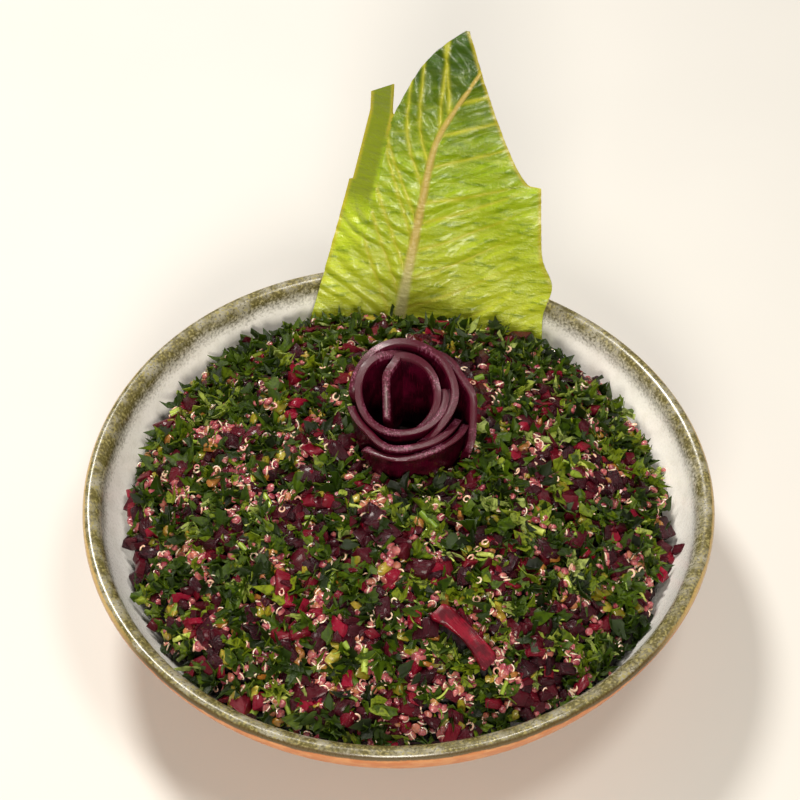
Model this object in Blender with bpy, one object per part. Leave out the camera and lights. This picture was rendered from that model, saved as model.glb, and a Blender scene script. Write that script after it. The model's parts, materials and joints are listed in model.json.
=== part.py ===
"""Tabbouleh salad in a shallow stoneware bowl, with a lettuce leaf and a rose of beet slices.

Metres, radians and +Z up, unless a comment says otherwise. The origin is the centre of the
bowl's flat base, on the table. +X is to the right of the serving side and +Y runs to the
back, where the lettuce leaf stands.

Sub-parts, each one solid: bowl, salad (the heap out to its uneven outline), lettuce_leaf,
rose_petal_1 to rose_petal_6 (rolled beet slices, inside to outside) and beet_strip.
"""
import math

import bmesh
import bpy
from mathutils import Matrix, Vector, noise

# ---- bowl -------------------------------------------------------------------------------
RIM_RADIUS = 0.085
RIM_HEIGHT = 0.039
FOOT_RADIUS = 0.043
FOOT_HEIGHT = 0.0025
FOOT_ROUND = 0.001
WALL = 0.0045                 # thickness of the wall, square to it
WALL_ARC = 0.052              # radius of the outer wall's curve, seen from the side
WALL_STEEP = math.radians(72)  # slope of the wall just under the lip
WALL_SHALLOW = math.radians(20)  # slope of the wall where it meets the foot
FLOOR = 0.0065                # height of the floor inside
FLOOR_TURN = math.radians(35)  # slope at which the inner wall starts to turn into the floor
LIP_OUT = 0.0018              # how far the lip rounds over outside its crest
LIP_DROP_OUT = 0.0020
LIP_IN = 0.0034               # and inside it, where it is softer
LIP_DROP_IN = 0.0044
RIM_WARP = 0.0012             # hand-thrown rim: two high and two low quarters
WARP_FROM = 0.008             # the warp fades out downwards to this height
SEGMENTS = 64                 # round the bowl and the heap

# ---- heap of salad ----------------------------------------------------------------------
GAP = 0.0004                  # kept between pieces that touch
HEAP_RADIUS = 0.0725
HEAP_WOBBLE = 0.0011
HEAP_WAVES = ((3, 0.9, 0.5), (5, 2.1, 0.35), (9, 4.0, 0.35), (14, 1.3, 0.3))  # turns, phase, size
HEAP_CENTRE_Y = 0.004         # the top of the heap lies a little behind the middle
HEAP_TOP = 0.0110             # above the rim
HEAP_EDGE = -0.0100           # the heap's shoulder, below the rim
HEAP_EDGE_TILT = 0.0040       # higher at the back, lower at the front
HEAP_SHIFT = 0.0012           # the heap lies a little left of the middle
HEAP_FULLNESS = 2.5
HEAP_BUMP = 0.0016
HEAP_BUMP_SIZE = 0.011
HEAP_FINE = 2.1               # the finer bumps: how many times as close, and half as high
HEAP_CALM = 0.6               # how much the bumps die down towards the shoulder
HEAP_SIDE = 0.0035            # how far the heap's side drops from its shoulder to the wall
HEAP_RINGS = 15
HEAP_RING_SPACING = 0.85      # the rings draw closer together towards the shoulder

# ---- lettuce leaf -----------------------------------------------------------------------
LEAF_FOOT = Vector((0.0, 0.0725, RIM_HEIGHT))  # where the leaf's middle crosses rim height
LEAF_LEAN = math.radians(62)  # from the table
LEAF_YAW = math.radians(6)    # its right side stands nearer the front
LEAF_THICKNESS = 0.0012
LEAF_BASE = -0.018            # lengths along the leaf are counted from rim height
LEAF_BASE_ROUND = 1.2         # its sides end higher: metres per metre of half width squared
LEAF_NOTCH = 0.053            # where the turned margin and the blade part
LEAF_TIP = 0.078
LEAF_RIB = 0.005              # the rib, right of LEAF_FOOT
LEAF_HALF_WIDTH = 0.038
LEAF_CUP = 0.0018             # how far the sides come forward of the rib
LEAF_BEND = 0.85              # slope at which the margin turns back from the crease
LEAF_RUFFLE = 0.0012
LEAF_WAVES_ACROSS = 160.0     # radians per metre
LEAF_WAVES_ALONG = 95.0
LEAF_ROWS = 22
LEAF_COLUMNS = 9
MARGIN_TOP = 0.0600           # where the turned margin is torn off, halfway across it
MARGIN_SLANT = 0.0018         # how much higher its right corner is than that
MARGIN_TOP_ROWS = 2
MARGIN_TEAR = 0.0005          # gap left of the notch
MARGIN_COLUMNS = 3
ROOM_NEAR = 1.2 * (LEAF_THICKNESS / 2 + GAP)  # the heap ends this far in front of the leaf
ROOM_DEPTH = 0.035            # and is cut away this far behind it
ROOM_SIDES = (-0.030, 0.045)
ROOM_HEIGHTS = (-0.030, -0.020, -0.010, 0.0, 0.012)
ROOM_COLUMNS = 10

# Its outlines, right (+) or left (-) of LEAF_FOOT. Round figures, chosen to lie within about
# 2 mm of outlines that were measured point by point beforehand.
TIP_ACROSS = 0.015
RIGHT_LOW = 0.043             # the right edge at the leaf's base,
RIGHT_HIGH = 0.039            # and where it is torn in
RIGHT_BULGE = 0.003
BULGE_AT = 0.005              # the bulge lies this far along the leaf
BULGE_SIZE = 0.006
TEAR_AT = 0.035
TEAR_DEPTH = 0.003
RIGHT_TAPER = 0.75            # below 1 the edge draws in sooner than it would straight
LEFT_TIP_BEND = 0.4           # how much of the left edge's slant comes at the tip
CREASE_LOW = -0.018           # the crease at the leaf's base,
CREASE_HIGH = -0.004          # and at the notch
CREASE_EASE = 0.9
MARGIN_LOW = 0.0095           # width of the turned margin at the leaf's base,
MARGIN_HIGH = 0.008           # and at the notch
NICK_AT = 0.032               # a nick in the margin's edge
NICK_DEPTH = 0.001

# ---- rose of beet slices ----------------------------------------------------------------
ROSE_CENTRE = Vector((0.001, 0.0120, RIM_HEIGHT + 0.0060))
SLICE = 0.0016                # thickness of a beet slice
ROSE_CORE = 0.0083            # radius of the innermost ring
ROSE_PITCH = 0.0021           # from one ring to the next
ROSE_FLARE = 0.14             # how much wider the rose is at its top than at its base
ROSE_HEIGHT = 0.0205
ROSE_RIM_TILT = 0.0035        # the rim stands higher at the back than at the front
ROSE_ROWS = 4
RIM_ENDS = 0.78               # height of a slice's rim at its two ends, as a share of its middle
STEP_ANGLE = 15               # degrees from point to point along a slice
CHORD_STEPS = 6
INNER_END_X = -0.0034         # the innermost slice ends in a straight run across the hollow
INNER_END_Y = -0.0045
OUTLINE_REACH = math.radians(14)  # slices this near in angle count towards the rose's outline
OUTLINE_STEPS = 30
ROSE_ROOM_HEIGHT = 0.030

# Each slice: start angle and sweep in degrees (0 right, 90 back), the rings that it keeps to
# at even steps along it, and the height of its rim at both ends as a share of the rose's.
PETALS = (
    (-70, 165, (0, 0), (0.92, 0.98)),
    (50, 330, (1, 1), (0.98, 0.96)),
    (285, 245, (2, 2), (0.95, 1.0)),
    (185, 160, (2, 2, 3, 3, 3), (0.92, 0.88)),
    (230, 115, (3.3, 4, 4, 4), (0.84, 0.80)),
    (-30, 95, (5.5, 4.5, 3.5, 3), (0.55, 0.98)),
)

# ---- beet strip lying on the front of the heap -------------------------------------------
STRIP_CENTRE = (0.016, -0.050)
STRIP_LENGTH = 0.0195
STRIP_WIDTH = 0.0056
STRIP_THICKNESS = 0.0022
STRIP_TURN = math.radians(-43)
STRIP_LIFT = 0.0012           # its underside above the heap's smooth form
STRIP_WAIST = 0.14            # how much narrower it is in its middle
STRIP_END = 0.72              # its cut ends, as a share of its width
STRIP_BOW = 0.0014
STRIP_STEPS = 8
SLOPE_STEP = 0.006            # the heap's slope is read over twice this


def clear_scene():
    """Remove every object of the scene."""
    for obj in list(bpy.data.objects):
        bpy.data.objects.remove(obj, do_unlink=True)


def material(name, colour, roughness, metallic=0.0):
    """A Principled material of one colour."""
    mat = bpy.data.materials.new(name)
    mat.use_nodes = True
    shader = mat.node_tree.nodes["Principled BSDF"]
    shader.inputs["Base Color"].default_value = (*colour, 1.0)
    shader.inputs["Roughness"].default_value = roughness
    shader.inputs["Metallic"].default_value = metallic
    mat.diffuse_color = (*colour, 1.0)
    return mat


def new_object(name, verts, faces, mat=None, smooth=True):
    """An object of the scene from points and faces."""
    mesh = bpy.data.meshes.new(name)
    mesh.from_pydata([tuple(v) for v in verts], [], faces)
    mesh.update()
    if smooth:
        mesh.shade_smooth()
        mesh.set_sharp_from_angle(angle=math.radians(50))
    obj = bpy.data.objects.new(name, mesh)
    if mat:
        mesh.materials.append(mat)
    bpy.context.scene.collection.objects.link(obj)
    return obj


def smoothstep(low, high, value):
    """0 below low, 1 above high, with a soft ramp between them."""
    t = min(max((value - low) / (high - low), 0.0), 1.0)
    return t * t * (3.0 - 2.0 * t)


# ---- bowl -------------------------------------------------------------------------------

def warp(height, angle):
    """Lift of the hand-thrown wall at a height and an angle; none at the foot."""
    return -RIM_WARP * math.sin(2.0 * angle) * smoothstep(WARP_FROM, RIM_HEIGHT, height)


def outer_wall(steps=9):
    """(radius, height) down the outer wall, from just under the lip to the foot."""
    top = (RIM_RADIUS, RIM_HEIGHT - LIP_DROP_OUT)
    points = []
    for i in range(steps):
        slope = WALL_STEEP + (WALL_SHALLOW - WALL_STEEP) * i / (steps - 1)
        points.append((top[0] - WALL_ARC * (math.sin(WALL_STEEP) - math.sin(slope)),
                       top[1] - WALL_ARC * (math.cos(slope) - math.cos(WALL_STEEP))))
    return points


def inner_wall(offset=0.0, steps=6):
    """(radius, height) down the inner wall to the floor's edge, moved inwards by offset.

    The wall's own curve is followed by a tighter one that runs out level into the floor.
    """
    arc = WALL_ARC - WALL
    radius = RIM_RADIUS - LIP_OUT - LIP_IN
    height = RIM_HEIGHT - LIP_DROP_IN
    turn_height = height - arc * (math.cos(FLOOR_TURN) - math.cos(WALL_STEEP))
    floor_arc = (turn_height - FLOOR) / (1.0 - math.cos(FLOOR_TURN))
    points = []
    for bend, first, last in ((arc, WALL_STEEP, FLOOR_TURN), (floor_arc, FLOOR_TURN, 0.0)):
        for i in range(steps + 1):
            slope = first + (last - first) * i / steps
            r = radius - bend * (math.sin(first) - math.sin(slope))
            z = height - bend * (math.cos(slope) - math.cos(first))
            if i or not points:
                points.append((r - offset * math.sin(slope), z + offset * math.cos(slope)))
        radius, height = r, z
    return points


def lip(steps=4):
    """(radius, height) over the lip, from the outer wall's top to the inner wall's."""
    crest = (RIM_RADIUS - LIP_OUT, RIM_HEIGHT)
    points = []
    for i in range(1, steps + 1):
        turn = math.radians(90) * i / steps
        points.append((crest[0] + LIP_OUT * math.cos(turn),
                       crest[1] - LIP_DROP_OUT * (1.0 - math.sin(turn))))
    for i in range(1, steps):
        turn = math.radians(90) * i / steps
        points.append((crest[0] - LIP_IN * math.sin(turn),
                       crest[1] - LIP_DROP_IN * (1.0 - math.cos(turn))))
    return points


def loft(low, rings, high):
    """Points and faces of a closed solid: a point below, rings upwards, a point on top."""
    verts = [low, high]
    faces = []
    for ring in rings:
        verts += ring
    count = len(rings[0])
    first = 2
    last = 2 + (len(rings) - 1) * count
    for i in range(count):
        j = (i + 1) % count
        faces.append((0, first + j, first + i))
        faces.append((1, last + i, last + j))
        for a in range(first, last, count):
            b = a + count
            faces.append((a + i, a + j, b + j, b + i))
    return verts, faces


def turned_ring(radius, height):
    """A ring of the bowl at a radius and a height, lifted as its wall is."""
    ring = []
    for i in range(SEGMENTS):
        angle = 2.0 * math.pi * i / SEGMENTS
        ring.append((radius * math.cos(angle), radius * math.sin(angle),
                     height + warp(height, angle)))
    return ring


def make_bowl():
    """The bowl: flat foot, curved wall, soft lip and a shallow floor."""
    foot = [(FOOT_RADIUS - FOOT_ROUND, 0.0), (FOOT_RADIUS, FOOT_ROUND),
            (FOOT_RADIUS + FOOT_ROUND / 2, FOOT_HEIGHT)]
    wall = [p for p in reversed(outer_wall()) if p[1] > FOOT_HEIGHT]
    inside = inner_wall()
    profile = foot + wall + lip() + inside + [(inside[-1][0] / 2, FLOOR)]
    rings = [turned_ring(radius, height) for radius, height in profile]
    verts, faces = loft((0.0, 0.0, 0.0), rings, (0.0, 0.0, FLOOR))
    return new_object("bowl", verts, faces, material("glazed_stoneware", (0.70, 0.67, 0.60), 0.3))


# ---- heap of salad ----------------------------------------------------------------------

def heap_radius(angle):
    """Radius of the heap's shoulder, uneven round the bowl."""
    uneven = sum(size * math.sin(count * angle + phase) for count, phase, size in HEAP_WAVES)
    return HEAP_RADIUS - HEAP_SHIFT * math.cos(angle) + HEAP_WOBBLE * uneven


def heap_dome(y, share):
    """Smooth height of the heap over the table; share is 0 in its middle, 1 at its shoulder."""
    edge = HEAP_EDGE + HEAP_EDGE_TILT * y / HEAP_RADIUS
    return RIM_HEIGHT + edge + (HEAP_TOP - edge) * (1.0 - share ** HEAP_FULLNESS)


def heap_height(x, y, share):
    """Height of the heap's uneven top at a point."""
    at = Vector((x, y, 0.0)) / HEAP_BUMP_SIZE
    bump = noise.noise(at) + 0.5 * noise.noise(at * HEAP_FINE + Vector((7.0, 3.0, 0.0)))
    return heap_dome(y, share) + HEAP_BUMP * bump * (1.0 - HEAP_CALM * share)


def heap_point(angle, share):
    """A point of the heap's top."""
    radius = heap_radius(angle) * share
    x = radius * math.cos(angle)
    y = radius * math.sin(angle) + HEAP_CENTRE_Y * (1.0 - share) ** 2
    return (x, y, heap_height(x, y, share))


def make_heap():
    """The salad as one solid: its underside lies on the bowl, its top is an uneven dome."""
    reach = RIM_HEIGHT + HEAP_EDGE - HEAP_SIDE
    under = [p for p in reversed(inner_wall(GAP)) if p[1] < reach]
    rings = [turned_ring(radius, height) for radius, height in under]
    for k in range(HEAP_RINGS, 0, -1):
        share = (k / HEAP_RINGS) ** HEAP_RING_SPACING
        rings.append([heap_point(2.0 * math.pi * i / SEGMENTS, share) for i in range(SEGMENTS)])
    verts, faces = loft((0.0, 0.0, under[0][1]), rings, heap_point(0.0, 0.0))
    return new_object("salad", verts, faces, material("salad_mix", (0.10, 0.12, 0.03), 0.6))


def cut(target, cutter):
    """Take the cutter's space out of the target."""
    cutter.hide_render = True
    cutter.display_type = 'WIRE'
    boolean = target.modifiers.new("room", 'BOOLEAN')
    boolean.operation = 'DIFFERENCE'
    boolean.solver = 'EXACT'
    boolean.object = cutter


# ---- lettuce leaf -----------------------------------------------------------------------

def low_share(t):
    """How far t lies from the leaf's base, 0, to its notch, 1."""
    return min(1.0, max(0.0, (t - LEAF_BASE) / (LEAF_NOTCH - LEAF_BASE)))


def right_edge(t):
    """The blade's right edge: it bulges near its foot, is torn in, then tapers."""
    if t < TEAR_AT:
        share = max(0.0, (t - LEAF_BASE) / (TEAR_AT - LEAF_BASE))
        bulge = RIGHT_BULGE * math.exp(-((t - BULGE_AT) / BULGE_SIZE) ** 2)
        return RIGHT_LOW + (RIGHT_HIGH - RIGHT_LOW) * share + bulge
    share = min(1.0, (t - TEAR_AT) / (LEAF_TIP - TEAR_AT))
    high = RIGHT_HIGH - TEAR_DEPTH
    return high + (TIP_ACROSS + 0.001 - high) * share ** RIGHT_TAPER


def left_edge(t):
    """The blade's left edge from the notch to the tip."""
    share = (t - LEAF_NOTCH) / (LEAF_TIP - LEAF_NOTCH)
    slant = (1.0 - LEFT_TIP_BEND) * share + LEFT_TIP_BEND * share ** 4
    return CREASE_HIGH + (TIP_ACROSS - CREASE_HIGH) * slant


def crease(t):
    """The crease between blade and margin; above the notch it goes straight up."""
    return CREASE_LOW + (CREASE_HIGH - CREASE_LOW) * low_share(t) ** CREASE_EASE


def margin_edge(t):
    """The turned margin's own edge, with a nick in it."""
    width = MARGIN_LOW + (MARGIN_HIGH - MARGIN_LOW) * low_share(t)
    return crease(t) - width + (NICK_DEPTH if t > NICK_AT else 0.0)


def leaf_point(across, t):
    """A point of the leaf's middle surface: across and along it, in metres."""
    side = Vector((math.cos(LEAF_YAW), -math.sin(LEAF_YAW), 0.0))
    back = Vector((math.sin(LEAF_YAW), math.cos(LEAF_YAW), 0.0))
    up = back * math.cos(LEAF_LEAN) + Vector((0.0, 0.0, math.sin(LEAF_LEAN)))
    front = side.cross(up)
    above = smoothstep(0.0, 0.03, t)
    proud = LEAF_CUP * ((across - LEAF_RIB) / LEAF_HALF_WIDTH) ** 2
    proud -= LEAF_BEND * above * max(0.0, crease(t) - across)
    wave = math.sin(LEAF_WAVES_ACROSS * across + LEAF_WAVES_ALONG * t)
    proud += LEAF_RUFFLE * above * smoothstep(0.01, 0.03, across) * wave
    return LEAF_FOOT + side * across + up * t + front * proud


def leaf_base(across):
    """Where the leaf ends below, hidden behind the heap: deepest at its rib."""
    return LEAF_BASE + LEAF_BASE_ROUND * (across - LEAF_RIB) ** 2


def leaf_row(left, right, columns, share):
    """Points across the leaf below the notch; share is 0 at the base and 1 at the notch."""
    t = LEAF_BASE + (LEAF_NOTCH - LEAF_BASE) * share
    row = []
    for column in range(columns + 1):
        across = left(t) + (right(t) - left(t)) * column / columns
        base = leaf_base(across)
        row.append(leaf_point(across, base + (LEAF_NOTCH - base) * share))
    return row


def make_leaf():
    """The leaf: a broad blade and, left of a crease, a margin turned back and torn off."""
    low_rows = round(LEAF_ROWS * (LEAF_NOTCH - LEAF_BASE) / (LEAF_TIP - LEAF_BASE))
    high_rows = LEAF_ROWS - low_rows
    blade = [leaf_row(crease, right_edge, LEAF_COLUMNS, row / low_rows)
             for row in range(low_rows + 1)]
    for row in range(1, high_rows + 1):
        t = LEAF_NOTCH + (LEAF_TIP - LEAF_NOTCH) * row / high_rows
        left, right = left_edge(t), right_edge(t)
        blade.append([leaf_point(left + (right - left) * column / LEAF_COLUMNS, t)
                      for column in range(LEAF_COLUMNS + 1)])
    margin = [leaf_row(margin_edge, crease, MARGIN_COLUMNS, row / low_rows)
              for row in range(low_rows + 1)]
    for row in range(1, MARGIN_TOP_ROWS + 1):
        level = []
        for column in range(MARGIN_COLUMNS + 1):
            share = column / MARGIN_COLUMNS
            top = MARGIN_TOP + MARGIN_SLANT * (2 * share - 1)
            t = LEAF_NOTCH + (top - LEAF_NOTCH) * row / MARGIN_TOP_ROWS
            left, right = margin_edge(t), crease(t) - MARGIN_TEAR
            level.append(leaf_point(left + (right - left) * share, t))
        margin.append(level)
    bm = bmesh.new()
    for grid in (blade, margin):
        points = [[bm.verts.new(v) for v in row] for row in grid]
        for low, high in zip(points, points[1:]):
            for k in range(len(low) - 1):
                bm.faces.new((low[k], low[k + 1], high[k + 1], high[k]))
    # Below the notch the two meet along the crease.
    bmesh.ops.remove_doubles(bm, verts=bm.verts, dist=0.00001)
    leaf = new_object("lettuce_leaf", [], [], material("lettuce", (0.30, 0.45, 0.04), 0.4))
    bm.to_mesh(leaf.data)
    bm.free()
    leaf.data.shade_smooth()
    thicken(leaf, LEAF_THICKNESS)
    return leaf


def thicken(obj, thickness):
    """Give a sheet its thickness, half to each side."""
    solidify = obj.modifiers.new("thickness", 'SOLIDIFY')
    solidify.thickness = thickness
    solidify.offset = 0.0
    solidify.use_even_offset = False


def leaf_room():
    """The space from the leaf's front backwards, which the heap gives way to."""
    near = Vector((0.0, -ROOM_NEAR, 0.0))
    depth = Vector((0.0, ROOM_DEPTH, 0.0))
    left, right = ROOM_SIDES
    sides = [left + (right - left) * i / ROOM_COLUMNS for i in range(ROOM_COLUMNS + 1)]
    bm = bmesh.new()
    rows = [[bm.verts.new(leaf_point(across, t) + near) for across in sides]
            for t in ROOM_HEIGHTS]
    sheet = [bm.faces.new((low[k], low[k + 1], high[k + 1], high[k]))
             for low, high in zip(rows, rows[1:]) for k in range(ROOM_COLUMNS)]
    back = bmesh.ops.extrude_face_region(bm, geom=sheet, use_keep_orig=True)
    moved = [v for v in back["geom"] if isinstance(v, bmesh.types.BMVert)]
    bmesh.ops.translate(bm, verts=moved, vec=depth)
    bmesh.ops.recalc_face_normals(bm, faces=bm.faces)
    room = new_object("leaf_room", [], [])
    bm.to_mesh(room.data)
    bm.free()
    return room


# ---- rose of beet slices ----------------------------------------------------------------

def rose_point(angle, radius, height):
    """A point of the rose; it widens evenly upwards, so its slices never meet."""
    wide = radius * (1.0 - 0.5 * ROSE_FLARE + ROSE_FLARE * height / ROSE_HEIGHT)
    return ROSE_CENTRE + Vector((wide * math.cos(angle), wide * math.sin(angle), height))


def petal_track(start, sweep, rings, steps):
    """(angle, radius) along a slice that keeps to its rings, blended from one to the next."""
    points = []
    for i in range(steps + 1):
        share = i / steps
        place = share * (len(rings) - 1)
        k = min(int(place), len(rings) - 2)
        blend = smoothstep(0.0, 1.0, place - k)
        ring = rings[k] + (rings[k + 1] - rings[k]) * blend
        points.append((math.radians(start + sweep * share), ROSE_CORE + ROSE_PITCH * ring))
    return points


def chord_track(points, chord_x, low_y, steps):
    """Lead a slice's track on, straight across the hollow, from its last point."""
    angle, radius = points[-1]
    x, y = radius * math.cos(angle), radius * math.sin(angle)
    track = list(points)
    for i in range(1, steps + 1):
        share = i / steps
        px = x + (chord_x - x) * smoothstep(0.0, 0.45, share)
        py = y + (low_y - y) * share
        turn = math.atan2(py, px)
        while turn < angle - math.pi:
            turn += 2.0 * math.pi
        track.append((turn, math.hypot(px, py)))
    return track


def make_petal(number, start, sweep, rings, shares):
    """One rolled slice of beet, its rim rounded down to both ends."""
    track = petal_track(start, sweep, rings, round(sweep / STEP_ANGLE))
    if number == 1:
        track = chord_track(track, INNER_END_X, INNER_END_Y, CHORD_STEPS)
    steps = len(track) - 1
    verts = []
    faces = []
    for i, (angle, radius) in enumerate(track):
        share = shares[0] + (shares[1] - shares[0]) * i / steps
        reach = 2.0 * i / steps - 1.0
        rounded = math.sqrt(max(0.0, 1.0 - reach * reach))
        rim = ROSE_HEIGHT * share * (RIM_ENDS + (1.0 - RIM_ENDS) * rounded)
        rim += ROSE_RIM_TILT * math.sin(angle)
        for row in range(ROSE_ROWS + 1):
            verts.append(rose_point(angle, radius, rim * row / ROSE_ROWS))
    wide = ROSE_ROWS + 1
    for i in range(steps):
        for row in range(ROSE_ROWS):
            a = i * wide + row
            faces.append((a, a + wide, a + wide + 1, a + 1))
    petal = new_object("rose_petal_%d" % number, verts, faces,
                       material("beet_slice_%d" % number, (0.14, 0.01, 0.04), 0.25))
    thicken(petal, SLICE)
    return petal


def rose_outline(angle):
    """Radius just outside the outermost slice at an angle."""
    reach = 0.0
    for start, sweep, rings, _ in PETALS:
        for at, radius in petal_track(start, sweep, rings, round(sweep / 5)):
            apart = (at - angle + math.pi) % (2.0 * math.pi) - math.pi
            if abs(apart) < OUTLINE_REACH:
                reach = max(reach, radius)
    return reach + SLICE / 2 + GAP


def rose_room():
    """The space of the rose, which the heap gives way to."""
    steps = OUTLINE_STEPS
    verts = []
    for height in (-GAP, ROSE_ROOM_HEIGHT):
        for i in range(steps):
            angle = 2.0 * math.pi * i / steps
            verts.append(rose_point(angle, rose_outline(angle), height))
    faces = [tuple(range(steps))[::-1], tuple(range(steps, 2 * steps))]
    for i in range(steps):
        j = (i + 1) % steps
        faces.append((i, j, steps + j, steps + i))
    return new_object("rose_room", verts, faces, smooth=False)


# ---- beet strip -------------------------------------------------------------------------

def strip_place():
    """Middle of the beet strip and its turn, lying on the slope of the heap."""
    x, y = STRIP_CENTRE
    step = SLOPE_STEP

    def dome(px, py):
        return heap_dome(py, math.hypot(px, py) / HEAP_RADIUS)

    rise_x = (dome(x + step, y) - dome(x - step, y)) / (2 * step)
    rise_y = (dome(x, y + step) - dome(x, y - step)) / (2 * step)
    normal = Vector((-rise_x, -rise_y, 1.0)).normalized()
    middle = Vector((x, y, dome(x, y))) + normal * (STRIP_LIFT + STRIP_THICKNESS / 2)
    lean = Vector((0.0, 0.0, 1.0)).rotation_difference(normal).to_matrix().to_4x4()
    turn = Matrix.Rotation(STRIP_TURN, 4, 'Z')
    return Matrix.Translation(middle) @ lean @ turn


def make_strip(name, grow=0.0, mat=None):
    """The strip of beet, a little bowed and waisted; grow makes it larger all round."""
    steps = STRIP_STEPS
    verts = []
    faces = []
    for i in range(steps + 1):
        share = i / steps
        x = (share - 0.5) * (STRIP_LENGTH + 2 * grow)
        width = STRIP_END if i in (0, steps) else 1.0 - STRIP_WAIST * math.sin(math.pi * share)
        half = STRIP_WIDTH / 2 * width + grow
        bow = STRIP_BOW * math.sin(math.pi * share)
        thick = STRIP_THICKNESS / 2 + grow
        for y, z in ((-half, -thick), (half, -thick), (half, thick), (-half, thick)):
            verts.append((x, y + bow, z))
    for i in range(steps):
        a = 4 * i
        for k in range(4):
            m = (k + 1) % 4
            faces.append((a + k, a + 4 + k, a + 4 + m, a + m))
    faces.append((0, 1, 2, 3))
    end = 4 * steps
    faces.append((end + 3, end + 2, end + 1, end))
    place = strip_place()
    obj = new_object(name, [place @ Vector(v) for v in verts], faces, mat, smooth=False)
    bm = bmesh.new()
    bm.from_mesh(obj.data)
    bmesh.ops.recalc_face_normals(bm, faces=bm.faces)
    bm.to_mesh(obj.data)
    bm.free()
    return obj


def main():
    clear_scene()
    make_bowl()
    heap = make_heap()
    make_leaf()
    for number, petal in enumerate(PETALS, start=1):
        make_petal(number, *petal)
    make_strip("beet_strip", mat=material("beet", (0.22, 0.01, 0.05), 0.3))
    cut(heap, leaf_room())
    cut(heap, rose_room())
    cut(heap, make_strip("strip_room", grow=GAP))


main()
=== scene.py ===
"""The look of a bowl of tabbouleh salad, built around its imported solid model.

Metres, radians and +Z up, in the model's own frame: the origin is the centre of the bowl's
base, +X is to the right of the serving side and +Y runs to the back, where the lettuce leaf
stands. Lengths with _mm in their name are in millimetres.
"""

from __future__ import annotations

import sys

import json
import logging
import math
from abc import ABC, abstractmethod
from collections.abc import Callable, Iterator, Sequence
from contextlib import contextmanager
from dataclasses import dataclass, field

import bpy
import numpy as np
from mathutils import Matrix, Vector, noise
from mathutils.bvhtree import BVHTree

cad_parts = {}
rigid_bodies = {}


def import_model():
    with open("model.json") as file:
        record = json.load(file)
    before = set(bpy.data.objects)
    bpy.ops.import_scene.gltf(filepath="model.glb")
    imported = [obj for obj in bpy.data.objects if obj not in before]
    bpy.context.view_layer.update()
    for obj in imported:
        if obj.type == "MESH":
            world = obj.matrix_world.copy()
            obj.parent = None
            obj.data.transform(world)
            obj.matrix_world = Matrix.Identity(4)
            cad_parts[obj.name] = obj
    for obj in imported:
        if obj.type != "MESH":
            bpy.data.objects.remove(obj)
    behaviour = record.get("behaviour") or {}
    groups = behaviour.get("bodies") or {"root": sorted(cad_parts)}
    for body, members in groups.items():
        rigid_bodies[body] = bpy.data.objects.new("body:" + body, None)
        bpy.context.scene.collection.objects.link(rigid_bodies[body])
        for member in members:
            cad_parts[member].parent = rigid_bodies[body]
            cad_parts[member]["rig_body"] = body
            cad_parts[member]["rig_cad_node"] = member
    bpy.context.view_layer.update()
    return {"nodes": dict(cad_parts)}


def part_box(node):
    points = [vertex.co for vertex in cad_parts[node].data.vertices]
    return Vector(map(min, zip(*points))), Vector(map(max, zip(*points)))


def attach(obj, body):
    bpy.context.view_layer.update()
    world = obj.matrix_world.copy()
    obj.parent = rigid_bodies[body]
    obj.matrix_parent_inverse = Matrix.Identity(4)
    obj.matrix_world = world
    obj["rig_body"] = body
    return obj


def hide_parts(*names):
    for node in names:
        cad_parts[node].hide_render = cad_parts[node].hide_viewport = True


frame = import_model()

log = logging.getLogger("tabbouleh")

BODY = "root"
SEED = 11
MM = 0.001
FINER_LAYERS = 0.55  # how strong the finer layers of noise are

Colour = tuple[float, float, float]
Stops = Sequence[tuple[float, Colour]]
Edge = Callable[[np.ndarray], np.ndarray]


def tone(red: int, green: int, blue: int) -> Colour:
    """A colour as the eye names it, 0 to 255 a channel, in the linear numbers shaders take."""
    def linear(channel: int) -> float:
        share = channel / 255
        return share / 12.92 if share <= 0.04045 else ((share + 0.055) / 1.055) ** 2.4

    return linear(red), linear(green), linear(blue)


def ramp(low: float, high: float, value: np.ndarray | float) -> np.ndarray:
    """0 below low, 1 above high, with a soft ramp between them."""
    share = np.clip((np.asarray(value, float) - low) / (high - low), 0.0, 1.0)
    return share * share * (3.0 - 2.0 * share)


# ---- node trees ---------------------------------------------------------------------------


class Wire:
    """A socket that carries a value between nodes; arithmetic on it adds Math nodes."""

    def __init__(self, graph: Graph, socket: bpy.types.NodeSocket) -> None:
        """Wrap an output socket of one of the graph's nodes."""
        self.graph = graph
        self.socket = socket

    def math(self, operation: str, *values: Wire | float) -> Wire:
        """The result of a Math node on the given values.

        Args:
            operation: The Math node's operation.
            values: Its inputs, in order.

        Returns:
            The wire that carries the result.
        """
        return self.graph.node("ShaderNodeMath", {"operation": operation},
                               dict(enumerate(values)))

    def __add__(self, other: Wire | float) -> Wire:
        """Self plus other."""
        return self.math("ADD", self, other)

    __radd__ = __add__

    def __sub__(self, other: Wire | float) -> Wire:
        """Self minus other."""
        return self.math("SUBTRACT", self, other)

    def __rsub__(self, other: float) -> Wire:
        """Other minus self."""
        return self.math("SUBTRACT", other, self)

    def __mul__(self, other: Wire | float) -> Wire:
        """Self times other."""
        return self.math("MULTIPLY", self, other)

    __rmul__ = __mul__

    def __truediv__(self, other: Wire | float) -> Wire:
        """Self over other."""
        return self.math("DIVIDE", self, other)

    def step(self, low: float, high: float) -> Wire:
        """0 where this is below low, 1 above high, soft between; low may be the larger."""
        inputs = {"Value": self, "From Min": low, "From Max": high}
        return self.graph.node("ShaderNodeMapRange", {"interpolation_type": "SMOOTHSTEP"},
                               inputs)


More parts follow.
